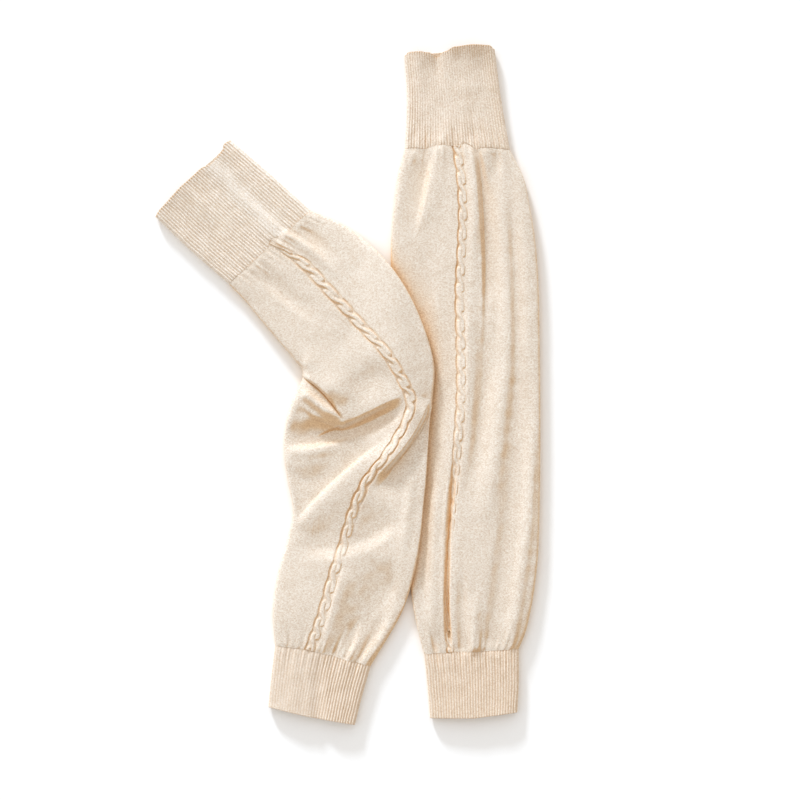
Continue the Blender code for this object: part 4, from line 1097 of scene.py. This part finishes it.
def knit_material(name, look):
    """Soft, slightly napped knit of heathered cream yarn, with painted shade in its stitch grooves,
    creases and hollows and on faces turned away from the key light.
    """
    nodes = Nodes(name)
    uv = nodes.node("UVMap", {}, uv_map="Knit")
    wale, row = (nodes.swayed(nodes.node("SeparateXYZ", {0: uv}, axis), waves, look.sway)
                 for axis, waves in enumerate((SWAY_WAVES, LEAN_WAVES)))
    stitch = stitch_height(nodes, wale, row)
    heather = nodes.noise(HEATHER_WAVES, 2.0, HEATHER_LEAN)
    clouds = nodes.math("SUBTRACT", nodes.noise(CLOUD_WAVES, 3.0), 0.5)
    crease = nodes.node("Attribute", {}, "Fac", attribute_type="GEOMETRY", attribute_name="crease")

    # The stitches' height darkens the tone in their grooves: painted shade. Heather, cells and
    # clouds add the yarn's own tone.
    tone = nodes.math("MULTIPLY", stitch, look.stitch_tone)
    for value, share in ((nodes.ranged(heather, *HEATHER_RANGE), look.heather_tone),
                         (nodes.random_cell(wale, row), look.cell_tone), (clouds, CLOUD_TONE)):
        tone = nodes.math("ADD", tone, nodes.math("MULTIPLY", value, share))
    whole = look.stitch_tone + look.heather_tone + look.cell_tone
    tone = nodes.ranged(tone, *(share * whole for share in TONE_RANGE))
    colour = nodes.mix(tone, (*look.shade, 1.0), (*look.colour, 1.0))
    # Painted shade: darker and warmer where the sky over a point is shut off, and on upper faces
    # turned away from the key light.
    hollow_shade = nodes.ranged(nodes.shut_sky(), *HOLLOW_SHADE_RANGE, 0.0, look.hollow_share)
    colour = nodes.tinted(hollow_shade, colour, HOLLOW_SHADE_TINT)
    colour = nodes.tinted(nodes.turned_away(look.hollow_share), colour, AWAY_SHADE_TINT)
    # Painted crease shade, from each point's crease attribute.
    crease_shaded = nodes.ranged(crease, *CREASE_SHADE_RANGE, 0.0, look.crease_share)
    heights = (stitch, heather, nodes.noise(FUZZ_WAVES))
    depths = (look.stitch_bump, look.heather_bump, FUZZ_BUMP)
    normal = None
    for height, depth, strength in zip(heights, depths, BUMP_STRENGTHS):
        normal = nodes.bump(height, depth, strength, normal)
    shader = {"Base Color": nodes.mix(crease_shaded, colour, (*CREASE_SHADE_COLOUR, 1.0)),
              "Roughness": nodes.ranged(tone, 0.0, 1.0, *ROUGHNESS), "Normal": normal,
              "Specular IOR Level": SPECULAR, "Sheen Weight": SHEEN,
              "Sheen Roughness": SHEEN_ROUGHNESS, "Sheen Tint": SHEEN_TINT}
    for socket, value in shader.items():
        nodes.feed(nodes.shader.inputs[socket], value)
    return nodes.material


# ---- surroundings
def build_stage():
    """The white floor."""
    data = bpy.data.meshes.new("floor")
    half = FLOOR_HALF_SIZE
    corners = [(-half, -half, 0), (half, -half, 0), (half, half, 0), (-half, half, 0)]
    data.from_pydata(corners, [], [(0, 1, 2, 3)])
    floor = add_object("floor", data)
    nodes = Nodes("white_paper")
    low, high = ((level, level, level, 1) for level in FLOOR_WHITE)
    nodes.feed(nodes.shader.inputs["Base Color"], nodes.mix(nodes.noise(FLOOR_WAVES), low, high))
    nodes.shader.inputs["Roughness"].default_value = 1.0
    nodes.shader.inputs["Specular IOR Level"].default_value = 0.0
    data.materials.append(nodes.material)


def build_light():
    """A white surround, and a low key light and a broad fill from the upper left."""
    world = bpy.data.worlds.new("studio")
    bpy.context.scene.world = world
    world.use_nodes = True
    background = world.node_tree.nodes["Background"]
    background.inputs["Color"].default_value = (1.0, 1.0, 1.0, 1.0)
    background.inputs["Strength"].default_value = SURROUND
    for lamp in LAMPS:
        data = bpy.data.lights.new(lamp.name, "SUN")
        data.energy = lamp.strength
        data.angle = np.radians(lamp.across)
        light = add_object(lamp.name, data)
        light.rotation_euler = (0.0, np.radians(lamp.tilt), np.radians(lamp.turn))


def build_camera():
    """Straight down on the pair, as in the photo, whose frame is FRAME_WIDTH wide."""
    data = bpy.data.cameras.new("camera")
    data.lens = LENS
    data.sensor_width = SENSOR
    camera = add_object("camera", data)
    distance = FRAME_WIDTH * LENS / SENSOR + FRAMED_HEIGHT
    camera.location = [v * METRES for v in (*FRAME_MIDDLE, distance)]
    bpy.context.scene.camera = camera
    view = bpy.context.scene.view_settings
    view.view_transform = "Standard"
    view.use_curve_mapping = True
    for curve, fall in ((1, GREEN_FALL), (2, BLUE_FALL)):
        for level in FALL_LEVELS:
            view.curve_mapping.curves[curve].points.new(level, level**fall)
    view.curve_mapping.update()


# ---- pieces
def finish_piece(piece, node, tube, cable=None):
    """Attach a tube, and its cable where there is one, to the root, and hide its solid."""
    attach(piece, "root")
    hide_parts(node)
    left_half, right_half = tube.halves(np.linspace(0, 1, 21))
    if cable:
        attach(cable, "root")


def knit_tube(name, tube, row_counts, columns, relief, stitches, material):
    """A tube's mesh. The columns function gives its front's places across at each row."""
    rows, inner_rows = (end_rows(tube.length, count) for count in row_counts)
    inner_rows = inner_rows[2:-2]
    outer = outer_grid(tube, rows, columns(rows), relief, stitches)
    inner = inner_grid(tube, inner_rows, columns(inner_rows), stitches)
    return tube_mesh(name + "_knit", outer, inner, material)


def build_body(name, tube, counts, material):
    """A body with its cable."""
    wales = 2 * round(2 * float(np.mean(tube.halves(0.5))) / WALE_PITCH)
    piece = knit_tube(name, tube, BODY_ROWS, lambda rows: body_columns(tube, rows, counts),
                      cloth_relief, wales, material)
    finish_piece(piece, name, tube, cable_mesh(name + "_cable", tube, material))


def build_cuff(name, tube, ribs, row_counts, relief, material):
    """A ribbed cuff."""
    piece = knit_tube(name, tube, row_counts, lambda rows: cuff_columns(tube, rows, ribs),
                      relief, 4 * ribs, material)
    finish_piece(piece, name, tube)


def build_leg_warmer(side, tubes, counts, rib_look, strengths, hem_shade_all_over):
    """One leg warmer of three tubes: its wide cuff, its body and its narrow cuff."""
    knit = knit_material(side + "_knit_yarn", KNIT_LOOK)
    rib = knit_material(side + "_rib_yarn", rib_look)
    cuff, body, hem = tubes
    cuff_strength, hem_strength = strengths
    build_cuff(side + "_top_cuff", cuff, RIBS_TOP, TOP_CUFF_ROWS,
               rib_relief(RIBS_TOP, cuff_strength, 0.0), rib)
    build_body(side + "_body", body, counts, knit)
    build_cuff(side + "_bottom_cuff", hem, RIBS_BOTTOM, BOTTOM_CUFF_ROWS,
               rib_relief(RIBS_BOTTOM, hem_strength, hem_shade_all_over), rib)


def build_straight():
    """The straight leg warmer."""
    cuff = Tube(STRAIGHT_TOP_CUFF, STRAIGHT_CUFF_FOLDS, STRAIGHT_LIP, STRAIGHT_BACK_LIP,
                bottom_gathers=STRAIGHT_TOP_GATHERS, flare=STRAIGHT_FLARE, open_end=0, seed=11)
    body = Tube(STRAIGHT_BODY, STRAIGHT_FOLDS, wall=BODY_WALL, top_gathers=STRAIGHT_TOP_GATHERS,
                bottom_gathers=STRAIGHT_BOTTOM_GATHERS, shoves=STRAIGHT_SHOVES,
                cable_half=STRAIGHT_CABLE_HALF, squeeze=STRAIGHT_SQUEEZE,
                beside=STRAIGHT_BESIDE, seed=12)
    hem = Tube(STRAIGHT_BOTTOM_CUFF, STRAIGHT_FOLDS, top_gathers=STRAIGHT_BOTTOM_GATHERS,
               flare=BOTTOM_FLARE, open_end=1, seed=13)
    build_leg_warmer("straight", (cuff, body, hem), STRAIGHT_COLUMNS, RIB_LOOK,
                     (straight_rib_strength, straight_hem_strength), STRAIGHT_HEM_SHADE)


def build_bent():
    """The bent leg warmer, which lies over the straight one's left edge."""
    cuff = Tube(BENT_TOP_CUFF, BENT_CUFF_FOLDS, BENT_LIP, BENT_BACK_LIP, lift,
                bottom_gathers=BENT_TOP_GATHERS, flare=BENT_FLARE, open_end=0, seed=21)
    body = Tube(BENT_BODY, BENT_FOLDS, lifted=lift, wall=BODY_WALL, top_gathers=BENT_TOP_GATHERS,
                bottom_gathers=BENT_BOTTOM_GATHERS, shoves=BENT_SHOVES,
                cable_half=BENT_CABLE_HALF, squeeze=BENT_SQUEEZE, beside=BENT_BESIDE,
                seed=22, blend=BENT_BLEND)
    hem = Tube(BENT_BOTTOM_CUFF, BENT_HEM_FOLDS, lifted=lift, top_gathers=BENT_BOTTOM_GATHERS,
               flare=BOTTOM_FLARE, open_end=1, seed=23)
    build_leg_warmer("bent", (cuff, body, hem), BENT_COLUMNS, BENT_RIB_LOOK,
                     (bent_rib_strength, bent_hem_strength), BENT_HEM_SHADE)


build_camera()
build_light()
build_stage()
build_straight()
build_bent()
